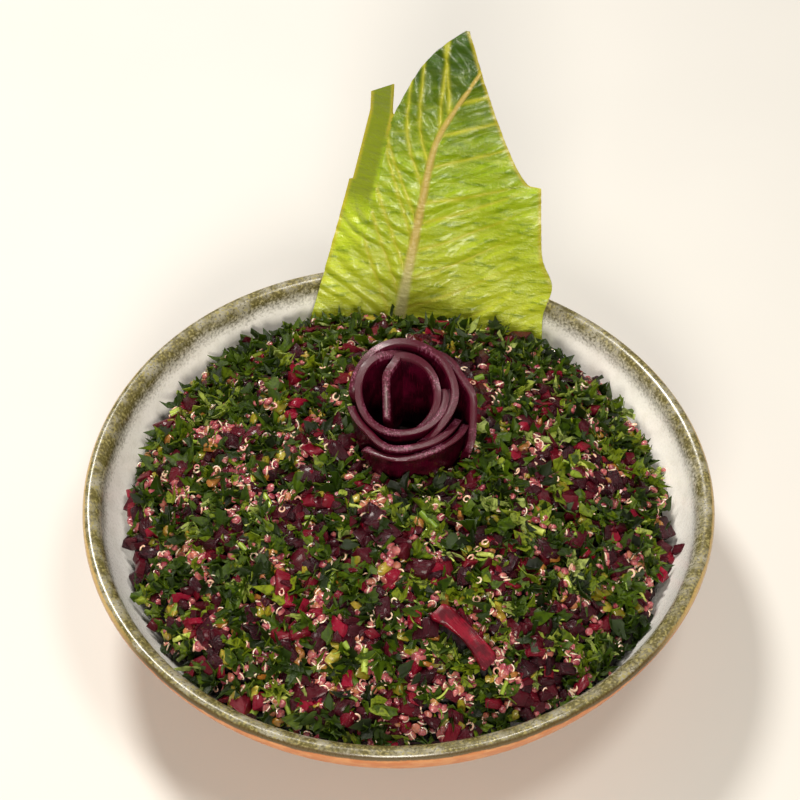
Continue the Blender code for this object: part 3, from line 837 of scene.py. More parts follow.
class Heap:
    """The heap's surface as it fills up: a square grid of heights that landing pieces raise."""

    cell = 0.5 * MM
    depth = 2.1 * MM
    probe = 0.2
    lowest = 24.0 * MM
    margin = 3.2 * MM
    fringe = 3.2 * MM
    fringe_clump = 5.0 * MM
    fringe_layer = 3.0
    steepest = 0.7
    bed_percentile = 55
    shoulder = 0.35
    lumps = ((10.0 * MM, 1.8 * MM), (4.2 * MM, 1.5 * MM))

    def __init__(self, rng: np.random.Generator) -> None:
        """Read the outline of the salad, and what stands in it, from the frame."""
        self.rng = rng
        low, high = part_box("salad")
        self.low = np.array([low.x, low.y])
        size = np.ceil((np.array([high.x, high.y]) - self.low) / self.cell).astype(int)
        self.goal = np.full(size, -1.0)
        blocked = np.zeros(size, bool)
        salad = self._tree(["salad"])
        others = self._tree([n for n in frame["nodes"] if n not in ("salad", "bowl")])
        down = Vector((0.0, 0.0, -1.0))
        for i in range(size[0]):
            for j in range(size[1]):
                start = Vector((*self.point(i, j), self.probe))
                hit = salad.ray_cast(start, down)[0]
                over = others.ray_cast(start, down)[0]
                if hit is not None:
                    self.goal[i, j] = hit.z
                    blocked[i, j] = over is not None and over.z > hit.z
        inside = self.goal > self.lowest
        blocked |= self._hollow()
        deep = self._inset(inside)
        ragged = self._over_plan(
            lambda x, y: clump(x, y, self.fringe_clump, self.fringe_layer))
        self.open = (deep > self.margin + self.fringe * ragged) & ~blocked
        self.slope_x, self.slope_y = self._slopes(inside & ~blocked)
        for lump, (width, rise) in enumerate(self.lumps):
            self.goal += rise * self._over_plan(lambda x, y: clump(x, y, width, lump))
        self.height = self.goal - self.depth
        self.cells = np.argwhere(self.open)

    @staticmethod
    def _tree(names: list[str]) -> BVHTree:
        """A search tree over the solids of those CAD nodes."""
        points: list[Vector] = []
        faces: list[list[int]] = []
        for name in names:
            mesh = frame["nodes"][name].data
            first = len(points)
            points += [v.co.copy() for v in mesh.vertices]
            faces += [[first + k for k in face.vertices] for face in mesh.polygons]
        return BVHTree.FromPolygons(points, faces)

    def _hollow(self) -> np.ndarray:
        """Which cells lie within the rose."""
        low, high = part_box("rose_petal_2")
        middle, half = (low + high) / 2, (high - low) / 2
        return self._over_plan(lambda x, y: math.hypot((x - middle.x) / half.x,
                                                       (y - middle.y) / half.y)) < 1.0

    def _over_plan(self, value: Callable[[float, float], float]) -> np.ndarray:
        """A value of x and y, for every cell."""
        filled = np.empty(self.goal.shape)
        for i in range(filled.shape[0]):
            for j in range(filled.shape[1]):
                filled[i, j] = value(*self.point(i, j))
        return filled

    def _inset(self, inside: np.ndarray, steps: int = 12) -> np.ndarray:
        """How far inside its outline each cell of the heap lies, up to some steps."""
        deep = np.zeros(inside.shape)
        left = inside.copy()
        for _ in range(steps):
            deep[left] += self.cell
            kept = left.copy()
            for axis in (0, 1):
                kept &= np.roll(left, 1, axis) & np.roll(left, -1, axis)
            left = kept
        return deep

    def _slopes(self, there: np.ndarray, step: int = 6) -> tuple[np.ndarray, np.ndarray]:
        """How steeply the heap's surface rises along x and y, smoothed."""
        level = np.where(there, self.goal, np.nan)
        rise = []
        for axis in (0, 1):
            ahead = np.roll(level, -step, axis)
            behind = np.roll(level, step, axis)
            slope = (ahead - behind) / (2 * step * self.cell)
            rise.append(np.clip(np.nan_to_num(slope, nan=0.0), -self.steepest, self.steepest))
        return rise[0], rise[1]

    def emptiest(self, looks: int) -> tuple[int, int]:
        """Of a few cells picked at random, the one with the most room above it."""
        picked = self.cells[self.rng.integers(len(self.cells), size=looks)]
        room = self.goal[picked[:, 0], picked[:, 1]] - self.height[picked[:, 0], picked[:, 1]]
        i, j = picked[int(np.argmax(room))]
        return int(i), int(j)

    def point(self, i: int, j: int) -> np.ndarray:
        """Middle of a cell, in plan."""
        return self.low + (np.array([i, j]) + 0.5) * self.cell

    def normal(self, i: int, j: int) -> Vector:
        """Which way the heap's surface faces at a cell."""
        return Vector((-self.slope_x[i, j], -self.slope_y[i, j], 1.0)).normalized()

    def land(self, i: int, j: int, reach: float, thick: float, over: float) -> float | None:
        """Let a piece come to rest on what lies there already.

        Args:
            i: The cell's number along x.
            j: The cell's number along y.
            reach: The piece's half width.
            thick: The piece's thickness.
            over: How far it may stand above the heap's outline.

        Returns:
            The height of the piece's middle, or None where there is no room for it.
        """
        span = max(1, int(reach / self.cell))
        i0, j0 = max(i - span, 0), max(j - span, 0)
        window = self.height[i0:i + span + 1, j0:j + span + 1]
        ii, jj = np.indices(window.shape)
        far = np.hypot(ii + i0 - i, jj + j0 - j) * self.cell / max(reach, self.cell)
        inside = far < 1.0
        bed = float(np.percentile(window[inside], self.bed_percentile))
        if bed + thick > self.goal[i, j] + over:
            return None
        dome = np.sqrt(np.clip(1.0 - far ** 2, 0.0, 1.0))
        top = bed + thick * (self.shoulder + (1.0 - self.shoulder) * dome)
        window[inside] = np.maximum(window[inside], top[inside])
        return bed + thick / 2


def rough_up(points: np.ndarray, amount: float, seed: float, size: float = 1.0) -> np.ndarray:
    """Shift points by smooth noise, so that no two sides are alike."""
    moved = points.copy()
    for k, point in enumerate(points):
        shift = noise.noise_vector(Vector(point) / size + Vector((seed, -seed, 2.0 * seed)))
        moved[k] += amount * np.array(shift)
    return moved


def thicken(obj: bpy.types.Object, thickness: float) -> None:
    """Give a sheet its thickness, half to each side, and apply it."""
    solidify = obj.modifiers.new("thickness", "SOLIDIFY")
    solidify.thickness = thickness
    solidify.offset = 0.0
    apply_all(obj)


class Ingredient(ABC):
    """One kind of thing in the heap: its shapes, its sizes and how it lies.

    A subclass names its weight among the others, how strongly it clumps, how far it leans,
    its least and greatest half length in millimetres, the share of large ones and theirs, its
    half sizes as shares of that length (a pair is drawn between its two), the middle and the
    spread of its tints, if they aren't even, and, if it is a thin thing, the room it takes.
    """

    name: str
    finish: FoodFinish
    weight: float
    clumping: float = 1.6
    tilt: float = 0.7
    sizes: tuple[float, float]
    large_share: float = 0.0
    large_sizes: tuple[float, float] = (0.0, 0.0)
    shares: tuple[float | tuple[float, float], ...] = (1.0, 1.0, 1.0)
    tints: tuple[float, float] | None = None
    room: float | None = None
    spread: float = 0.8
    thick_share: float = 1.7

    def __init__(self, rng: np.random.Generator) -> None:
        """Model the shapes that the copies are made of."""
        self.rng = rng
        self.copies = Copies(self.name)
        self.shapes = self.model()

    @abstractmethod
    def model(self) -> list[Shape]:
        """Model the shapes, each about 2 units across."""

    def size(self) -> np.ndarray:
        """Half sizes of the next piece along its own x, y and z."""
        large = self.large_share > 0.0 and self.rng.uniform() < self.large_share
        length = self.rng.uniform(*(self.large_sizes if large else self.sizes)) * MM
        return length * np.array([self.rng.uniform(*share) if isinstance(share, tuple) else share
                                  for share in self.shares])

    def tint(self) -> float:
        """Place of the next piece in the range of colours."""
        if self.tints is None:
            return float(self.rng.uniform(0.0, 1.0))
        return float(np.clip(self.rng.normal(*self.tints), 0.0, 1.0))

    def axes(self, normal: Vector) -> np.ndarray:
        """Axes of a piece that lies on a surface, leaning and turned at random.

        Args:
            normal: Which way the surface faces.

        Returns:
            The axes, as the columns of a matrix.
        """
        turn = self.rng.uniform(0.0, 2.0 * math.pi)
        lean = self.rng.normal(0.0, self.tilt)
        swing = self.rng.uniform(0.0, 2.0 * math.pi)
        up = Vector((0.0, 0.0, 1.0)).rotation_difference(normal).to_matrix()
        tip = Matrix.Rotation(lean, 3, Vector((math.cos(swing), math.sin(swing), 0.0)))
        return np.array(up @ tip @ Matrix.Rotation(turn, 3, "Z"))

    def put(self, at: np.ndarray, axes: np.ndarray, half: np.ndarray, tint: float) -> None:
        """Add one piece at a place."""
        shape = self.shapes[int(self.rng.integers(len(self.shapes)))]
        self.copies.add(shape, axes * half, at, tint)

    def drop(self, heap: Heap, i: int, j: int, over: float) -> None:
        """Let one piece land in a cell of the heap, if there is room."""
        half = self.size()
        axes = self.axes(heap.normal(i, j))
        extent = np.abs(axes * half).max(axis=1)
        reach = self.spread * float(max(extent[0], extent[1]))
        thick = self.room or self.thick_share * float(extent[2])
        height = heap.land(i, j, reach, thick, over)
        if height is not None:
            self.put(np.array([*heap.point(i, j), height]), axes, half, self.tint())

    def present(self) -> None:
        """Join the copies and hand them to the frame."""
        present(self.copies.build(), self.finish.material(), "salad_mix")
        log.info("%s: %d pieces", self.name, len(self.copies.shapes))


class Germs(Ingredient):
    """The quinoa's germs: pale rings and curls, come loose from their grains."""

    name = "quinoa_germs"
    finish = GERM_FINISH
    weight = 3.0
    clumping = 1.0
    tilt = 0.6
    sizes = (0.95, 1.35)
    shares = (1.0, (0.85, 1.0), 1.0)
    thread = 0.24
    paleness = 0.6

    def model(self) -> list[Shape]:
        """Rings that are open by more or less, tapered to both ends."""
        return [self.curl(math.radians(sweep), rise, self.thread) for sweep, rise in
                ((348, 0.0), (320, 0.1), (345, 0.1), (230, 0.1), (180, 0.0), (300, 0.4))]

    @staticmethod
    def curl(sweep: float, rise: float, thread: float, steps: int = 12) -> Shape:
        """One curl.

        Args:
            sweep: How far round it bends.
            rise: How far it climbs on its way.
            thread: Radius of its thread.
            steps: How many lengths it is made of.

        Returns:
            The shape, 1 unit in radius.
        """
        def place(u: np.ndarray, v: np.ndarray) -> np.ndarray:
            turn = (u - 0.5) * sweep
            thick = thread * (0.5 + 0.5 * np.sin(math.pi * np.clip(u, 0.03, 0.97)) ** 0.6)
            around = 2.0 * math.pi * v
            radius = 1.0 - thread + thick * np.cos(around)
            return np.stack([radius * np.cos(turn), radius * np.sin(turn),
                             thick * np.sin(around) + rise * (u - 0.5)], axis=1)

        curl = grid("curl", steps, 4, place)
        close(curl, 1e-4)
        return Shape.take(curl)

    def tint(self) -> float:
        """Mostly near white."""
        return float(self.rng.uniform(0.0, 1.0) ** self.paleness)


class Quinoa(Ingredient):
    """Cooked quinoa: swollen discs, stained pink by the beet, many with their germ on."""

    name = "quinoa_grains"
    finish = GRAIN_FINISH
    weight = 21.0
    clumping = 1.5
    tilt = 0.8
    sizes = (1.2, 1.6)
    shares = (1.0, (0.85, 1.0), 1.0)
    tints = (0.42, 0.27)
    radius = 0.92
    flatness = 0.62
    dimple = 0.3

    def model(self) -> list[Shape]:
        """Discs with a dimple, bare or with a germ round part of their rim."""
        shapes = []
        for k, sweep in enumerate((0, 0, 150, 230, 190, 270)):
            deselect()
            bpy.ops.mesh.primitive_uv_sphere_add(segments=9, ring_count=4,
                                                 radius=self.radius)
            grain = bpy.context.active_object
            place = rough_up(points_of(grain), 0.2, 3.1 * k)
            out = np.hypot(place[:, 0], place[:, 1])
            place[:, 2] *= self.flatness * (1.0 - self.dimple * ramp(0.6, 0.0, out))
            move_points(grain, place)
            shape = Shape.take(grain)
            if sweep:
                germ = Germs.curl(math.radians(sweep), 0.3, 0.17, 8)
                shape = shape.joined(germ.moved(Matrix.Rotation(0.25 * k, 4, "X")))
            shapes.append(shape)
        return shapes


def blocks(count: int, bevel: float, rough: float, skew: float, seed: float) -> list[Shape]:
    """Blocks with bevelled edges and uneven sides.

    Args:
        count: How many different ones.
        bevel: Width of the bevel, for blocks 2 units wide.
        rough: How far their corners stray.
        skew: How far they lean out of square.
        seed: Where the noise starts.

    Returns:
        The shapes.
    """
    shapes = []
    for k in range(count):
        deselect()
        bpy.ops.mesh.primitive_cube_add(size=2.0)
        block = bpy.context.active_object
        with editing(block):
            bpy.ops.mesh.bevel(offset=bevel, segments=1, affect="EDGES")
        place = rough_up(points_of(block), rough, seed + 1.7 * k, 1.3)
        place[:, 0] += skew * math.sin(2.0 * k) * place[:, 1]
        place[:, 1] += skew * math.cos(3.0 * k) * place[:, 2]
        move_points(block, place)
        shapes.append(Shape.take(block))
    return shapes


class BeetDice(Ingredient):
    """Cooked beet, cut small by hand: blocks with crisp edges, one in twenty cut larger."""

    name = "beet_dice"
    finish = DICE_FINISH
    weight = 12.0
    clumping = 2.2
    tilt = 0.9
    sizes = (1.3, 2.4)
    large_share = 0.05
    large_sizes = (2.6, 3.4)
    shares = ((0.9, 1.4), (0.7, 1.0), (0.5, 0.85))

    def model(self) -> list[Shape]:
        """Crisp blocks."""
        return blocks(9, 0.16, 0.55, 0.35, 0.4)


class VegetableBits(Ingredient):
    """Yellow-green and ochre bits of diced vegetable, softer at their edges."""

    name = "vegetable_bits"
    finish = BIT_FINISH
    weight = 3.0
    clumping = 1.4
    tilt = 0.9
    sizes = (0.9, 1.6)
    shares = ((0.9, 1.4), (0.8, 1.0), (0.5, 0.8))

    def model(self) -> list[Shape]:
        """Rounded blocks."""
        return blocks(6, 0.38, 0.6, 0.25, 9.0)


class Leaflets(Ingredient):
    """Chopped parsley leaflets: cut into toothed lobes, pleated and crumpled."""

    name = "parsley_leaflets"
    finish = HERB_FINISH
    weight = 8.0
    clumping = 1.6
    tilt = 0.6
    sizes = (3.2, 5.4)
    large_share = 0.04
    large_sizes = (5.4, 6.2)
    shares = ((0.7, 1.0), 1.0, (0.8, 1.1))
    tints = (0.5, 0.25)
    room = 1.0 * MM
    spread = 0.5
    rim = 24
    tooth_out = 1.08
    tooth_in = 0.84
    pleats = 0.16
    sheet = 0.035

    def model(self) -> list[Shape]:
        """Whole leaflets and pieces cut off them."""
        return [self._leaflet(*how) for how in
                ((5, 0.45, 0.3, -1.0, 1.0), (5, 0.8, -0.35, -0.3, 2.0), (4, 0.5, 0.5, -1.0, 3.0),
                 (5, 0.3, -0.6, -0.1, 4.0), (3, 0.9, 0.2, -0.2, 5.0), (5, 0.6, 0.7, -1.0, 6.0),
                 (4, -0.6, 0.2, 0.0, 7.0))]

    def _leaflet(self, lobes: int, fold: float, curl: float, cut: float,
                 seed: float) -> Shape:
        """One leaflet.

        Args:
            lobes: How many lobes go round it; those at its stalk stay small.
            fold: How far its halves stand up from the vein.
            curl: How far its tip bends up or down.
            cut: Where it is cut across; -1 leaves it whole.
            seed: Where its noise starts.

        Returns:
            The shape.
        """
        deselect()
        bpy.ops.mesh.primitive_circle_add(vertices=self.rim, radius=1.0, fill_type="NGON")
        leaf = bpy.context.active_object
        with editing(leaf):
            bpy.ops.mesh.inset(thickness=0.4)
            bpy.ops.mesh.poke()
        place = points_of(leaf)
        turn = np.arctan2(place[:, 1], place[:, 0]) - math.pi / 2
        out = np.hypot(place[:, 0], place[:, 1])
        lobe = 0.42 + 0.58 * (0.5 + 0.5 * np.cos(lobes * turn)) ** 0.7
        tooth = np.where(np.round(turn / (2 * math.pi) * self.rim) % 2 == 0,
                         self.tooth_out, self.tooth_in)
        fan = 0.45 + 0.55 * ramp(-0.9, 0.2, np.cos(turn))
        lobe = np.where(out > 0.9, lobe * tooth, 0.35 + 0.65 * lobe) * fan
        place[:, :2] *= lobe[:, None]
        place[:, 1] = np.maximum(place[:, 1], cut)
        pleat = self.pleats * np.cos(2 * lobes * turn) * out
        place[:, 2] = fold * np.abs(place[:, 0]) + curl * place[:, 1] ** 2 + pleat
        move_points(leaf, rough_up(rough_up(place, 0.3, seed, 0.9), 0.13, seed + 20.0, 0.35))
        thicken(leaf, self.sheet)
        return Shape.take(leaf)


class HerbBits(Leaflets):
    """Finely chopped parsley: small scraps and narrow shreds of leaf."""

    name = "parsley_bits"
    weight = 15.0
    clumping = 1.4
    tilt = 0.9
    sizes = (1.6, 3.2)
    large_share = 0.0
    shares = ((0.6, 1.0), 1.0, 1.0)
    room = 0.8 * MM
    spread = 0.45
    sheet = 0.07

    def model(self) -> list[Shape]:
        """Scraps with a few corners, and bent shreds."""
        shapes = []
        for k in range(8):
            deselect()
            bpy.ops.mesh.primitive_circle_add(vertices=12, radius=1.0, fill_type="TRIFAN")
            scrap = bpy.context.active_object
            place = rough_up(points_of(scrap), 0.8, 3.7 * k, 0.55)
            place[:, 0] *= 0.3 if k % 2 else 0.75
            place[:, 2] = (0.6 * place[:, 1] ** 2 * math.cos(2.0 * k)
                           + 1.3 * np.abs(place[:, 0]) * math.sin(1.0 + k))
            move_points(scrap, place)
            thicken(scrap, self.sheet)
            shapes.append(Shape.take(scrap))
        return shapes


class Stems(Ingredient):
    """Chopped parsley stems: short hollow tubes, and a few long thin ones."""

    name = "parsley_stems"
    finish = STEM_FINISH
    weight = 2.6
    clumping = 0.8
    tilt = 0.35
    sizes = (1.5, 3.4)
    room = 0.9 * MM
    spread = 0.4

    def model(self) -> list[Shape]:
        """Tubes along x: hollow short ones and bent long ones."""
        return [self._stem(0.0, 0.30), self._stem(0.12, 0.22), self._stem(0.5, 0.12),
                self._stem(-0.35, 0.09)]

    @staticmethod
    def _stem(bow: float, radius: float) -> Shape:
        """One stem, bowed sideways, whose cut ends are hollow."""
        def place(u: np.ndarray, v: np.ndarray) -> np.ndarray:
            inner = (u < 0.05) | (u > 0.95)
            depth = np.where(inner, 0.6, 1.0)
            along = np.where(u < 0.05, 0.05, np.where(u > 0.95, 0.95, (u - 0.1) / 0.8))
            x = 2.0 * along - 1.0
            around = 2.0 * math.pi * v
            return np.stack([x, bow * (1.0 - x * x) + depth * radius * np.cos(around),
                             depth * radius * np.sin(around)], axis=1)

        stem = grid("stem", 10, 7, place)
        close(stem, 1e-4)
        return Shape.take(stem)


@dataclass
class Salad:
    """The heap: a bumpy core painted dark as the shade in its gaps, and everything that was tossed
    together on it.
    """

    rng: np.random.Generator
    bowl: Bowl
    tries: int = 9000
    looks: int = 4
    over: float = 0.6 * MM
    toppings: int = 160
    topping_over: float = 2.2 * MM
    topping_looks: int = 2
    grain_every: int = 4
    clump_size: float = 8.0 * MM
    clump_layer: float = 10.0
    core_inset: float = 2.6 * MM
    core_voxel: float = 1.3 * MM
    core_lump: float = 1.2 * MM
    core_lump_size: float = 4.5 * MM
    crumbs: int = 8
    crumb_reach: tuple[float, float] = (0.88, 0.94)
    crumb_size: float = 0.6
    crumb_rise: float = 0.6

    def build(self) -> None:
        """Build the core, fill the heap and hand every kind to the frame."""
        self._build_core()
        heap = Heap(self.rng)
        kinds = [kind(self.rng) for kind in
                 (Quinoa, Germs, BeetDice, VegetableBits, Leaflets, HerbBits, Stems)]
        self._fill(heap, kinds)
        self._top(heap, kinds)
        self._strew(kinds)
        for kind in kinds:
            kind.present()

    def _build_core(self) -> None:
        """Shrink a copy of the heap and roughen it."""
        core = frame["nodes"]["salad"].copy()
        core.data = core.data.copy()
        core.parent = None
        core.name = "salad_core"
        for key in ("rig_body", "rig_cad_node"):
            if key in core:
                del core[key]
        bpy.context.scene.collection.objects.link(core)
        with editing(core):
            bpy.ops.mesh.remove_doubles(threshold=1e-5)
        remesh = core.modifiers.new("even", "REMESH")
        remesh.mode = "VOXEL"
        remesh.voxel_size = self.core_voxel
        apply_all(core)
        with editing(core):
            bpy.ops.transform.shrink_fatten(value=-self.core_inset)
        lumps = bpy.data.textures.new("lumps", "CLOUDS")
        lumps.noise_scale = self.core_lump_size
        lumps.noise_depth = 2
        displace = core.modifiers.new("lumps", "DISPLACE")
        displace.texture = lumps
        displace.texture_coords = "LOCAL"
        displace.strength = self.core_lump
        apply_all(core)
        smooth(core, 80.0)
        present(core, CoreFinish().material(), "salad_mix", "salad")

    def _fill(self, heap: Heap, kinds: list[Ingredient]) -> None:
        """Drop pieces where there is most room, until the heap stands at its outline."""
        for _ in range(self.tries):
            i, j = heap.emptiest(self.looks)
            x, y = heap.point(i, j)
            crowd = [clump(x, y, self.clump_size, self.clump_layer + k) for k in range(len(kinds))]
            share = np.array([kind.weight * math.exp(kind.clumping * 2.0 * near)
                              for kind, near in zip(kinds, crowd)])
            kind = kinds[int(self.rng.choice(len(kinds), p=share / share.sum()))]
            kind.drop(heap, i, j, self.over)

    def _strew(self, kinds: list[Ingredient]) -> None:
        """Let a few small crumbs lie on the bowl's wall, wherever chance puts them."""
        loose = [kind for kind in kinds if isinstance(kind, (BeetDice, Quinoa))]
        low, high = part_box("bowl")
        for number in range(self.crumbs):
            turn = self.rng.uniform(0.0, 2.0 * math.pi)
            radius = (high.x - low.x) / 2 * self.rng.uniform(*self.crumb_reach)
            kind = loose[number % len(loose)]
            half = kind.size() * self.crumb_size
            out = np.array([math.cos(turn), math.sin(turn), 0.0])
            facing = (Vector((0.0, 0.0, 1.0)) - Vector(out)).normalized()
            at = out * radius + np.array([0.0, 0.0, self.bowl.wall_height(radius, turn)])
            at = at + np.array(facing) * half[2] * self.crumb_rise
            kind.put(at, kind.axes(facing), half, kind.tint())

    def _top(self, heap: Heap, kinds: list[Ingredient]) -> None:
        """Scatter loose germs and a few more grains on top, where they show whole."""
        grains, germs = [kind for kind in kinds if isinstance(kind, (Germs, Quinoa))]
        for number in range(self.toppings):
            i, j = heap.emptiest(self.topping_looks)
            kind = grains if number % self.grain_every == 0 else germs
            kind.drop(heap, i, j, self.topping_over)


# ---- lettuce leaf -------------------------------------------------------------------------------


@dataclass(frozen=True)
class LeafFinish:
    """Fresh lettuce: yellow-green at its foot, greener at its tip, pale veins, tan rib. The upper
    part of its turned margin is painted darker olive as shade, and a painted highlight runs
    along the margin's torn edge near its top.

    Its patches, streaks and fine grain are sized in millimetres.
    """

    foot: Colour = tone(198, 208, 50)
    middle: Colour = tone(162, 188, 26)
    top: Colour = tone(48, 82, 1)
    shade: Colour = tone(80, 116, 4)
    light: Colour = tone(212, 222, 86)
    vein: Colour = tone(208, 204, 60)
    rib: Colour = tone(204, 176, 92)
    rib_foot: Colour = tone(216, 208, 140)
    # Painted shade: darker olive on the upper part of the turned margin.
    turned: Colour = tone(128, 140, 14)
    # Yellow along the leaf's edges, and a painted highlight along the margin's torn edge near its
    # top.
    rim: Colour = tone(196, 178, 48)
    through: Colour = tone(190, 210, 30)
    through_share: float = 0.25
    patch_size: float = 7.0
    streak_size: float = 1.6
    streak_turn: float = -0.35
    streak_shape: tuple[float, float, float] = (0.22, 1.0, 1.0)
    net_scale: float = 0.45
    fine_size: float = 0.55
    bump_depth: float = 0.00065

    def material(self) -> bpy.types.Material:
        """The material, read by what the blade's mesh carries."""
        g = Graph("lettuce")
        rise = g.value("rise")
        local = g.vector("local")
        patch = g.noise(self.patch_size, 4.0, local)
        colour = g.ramp(rise + (patch - 0.5) * 0.35,
                        ((0.0, self.foot), (0.45, self.middle), (0.85, self.top)))
        streaks = g.node("ShaderNodeMapping", inputs={
            "Vector": local, "Rotation": (0.0, 0.0, self.streak_turn),
            "Scale": self.streak_shape})
        streak = g.noise(self.streak_size, 4.0, streaks)
        colour = g.mix(streak.step(0.5, 0.68) * 0.6, colour, self.shade)
        pale = (1.0 - streak).step(0.52, 0.72) * rise.step(1.0, 0.4) * 0.5
        colour = g.mix(pale, colour, self.light)
        net = g.node("ShaderNodeTexVoronoi", {"feature": "DISTANCE_TO_EDGE"},
                     {"Vector": local, "Scale": self.net_scale, "Randomness": 1.0})
        colour = g.mix(net.step(0.09, 0.0) * rise.step(1.0, 0.3) * 0.25, colour, self.light)
        colour = g.mix(g.value("vein") * 0.9, colour, self.vein)
        rib = g.mix(rise.step(0.25, 0.0), self.rib, self.rib_foot)
        colour = g.mix(g.value("rib"), colour, rib)
        # Painted shade on the upper part of the turned margin.
        colour = g.mix(g.value("turned") * 0.85, colour, self.turned)
        # Yellow edges, with a painted highlight on the margin's torn top edge.
        colour = g.mix(g.value("rim") * 0.8, colour, self.rim)
        roughness = 0.18 + patch * 0.16
        fine = g.noise(self.fine_size, 3.0, local)
        normal = g.bump(fine * 0.3 + streak * 0.7, self.bump_depth)
        material = g.finish(colour, roughness, normal, Coat_Weight=0.2, Coat_Roughness=0.14)
        g.glow(self.through, self.through_share)
        return material


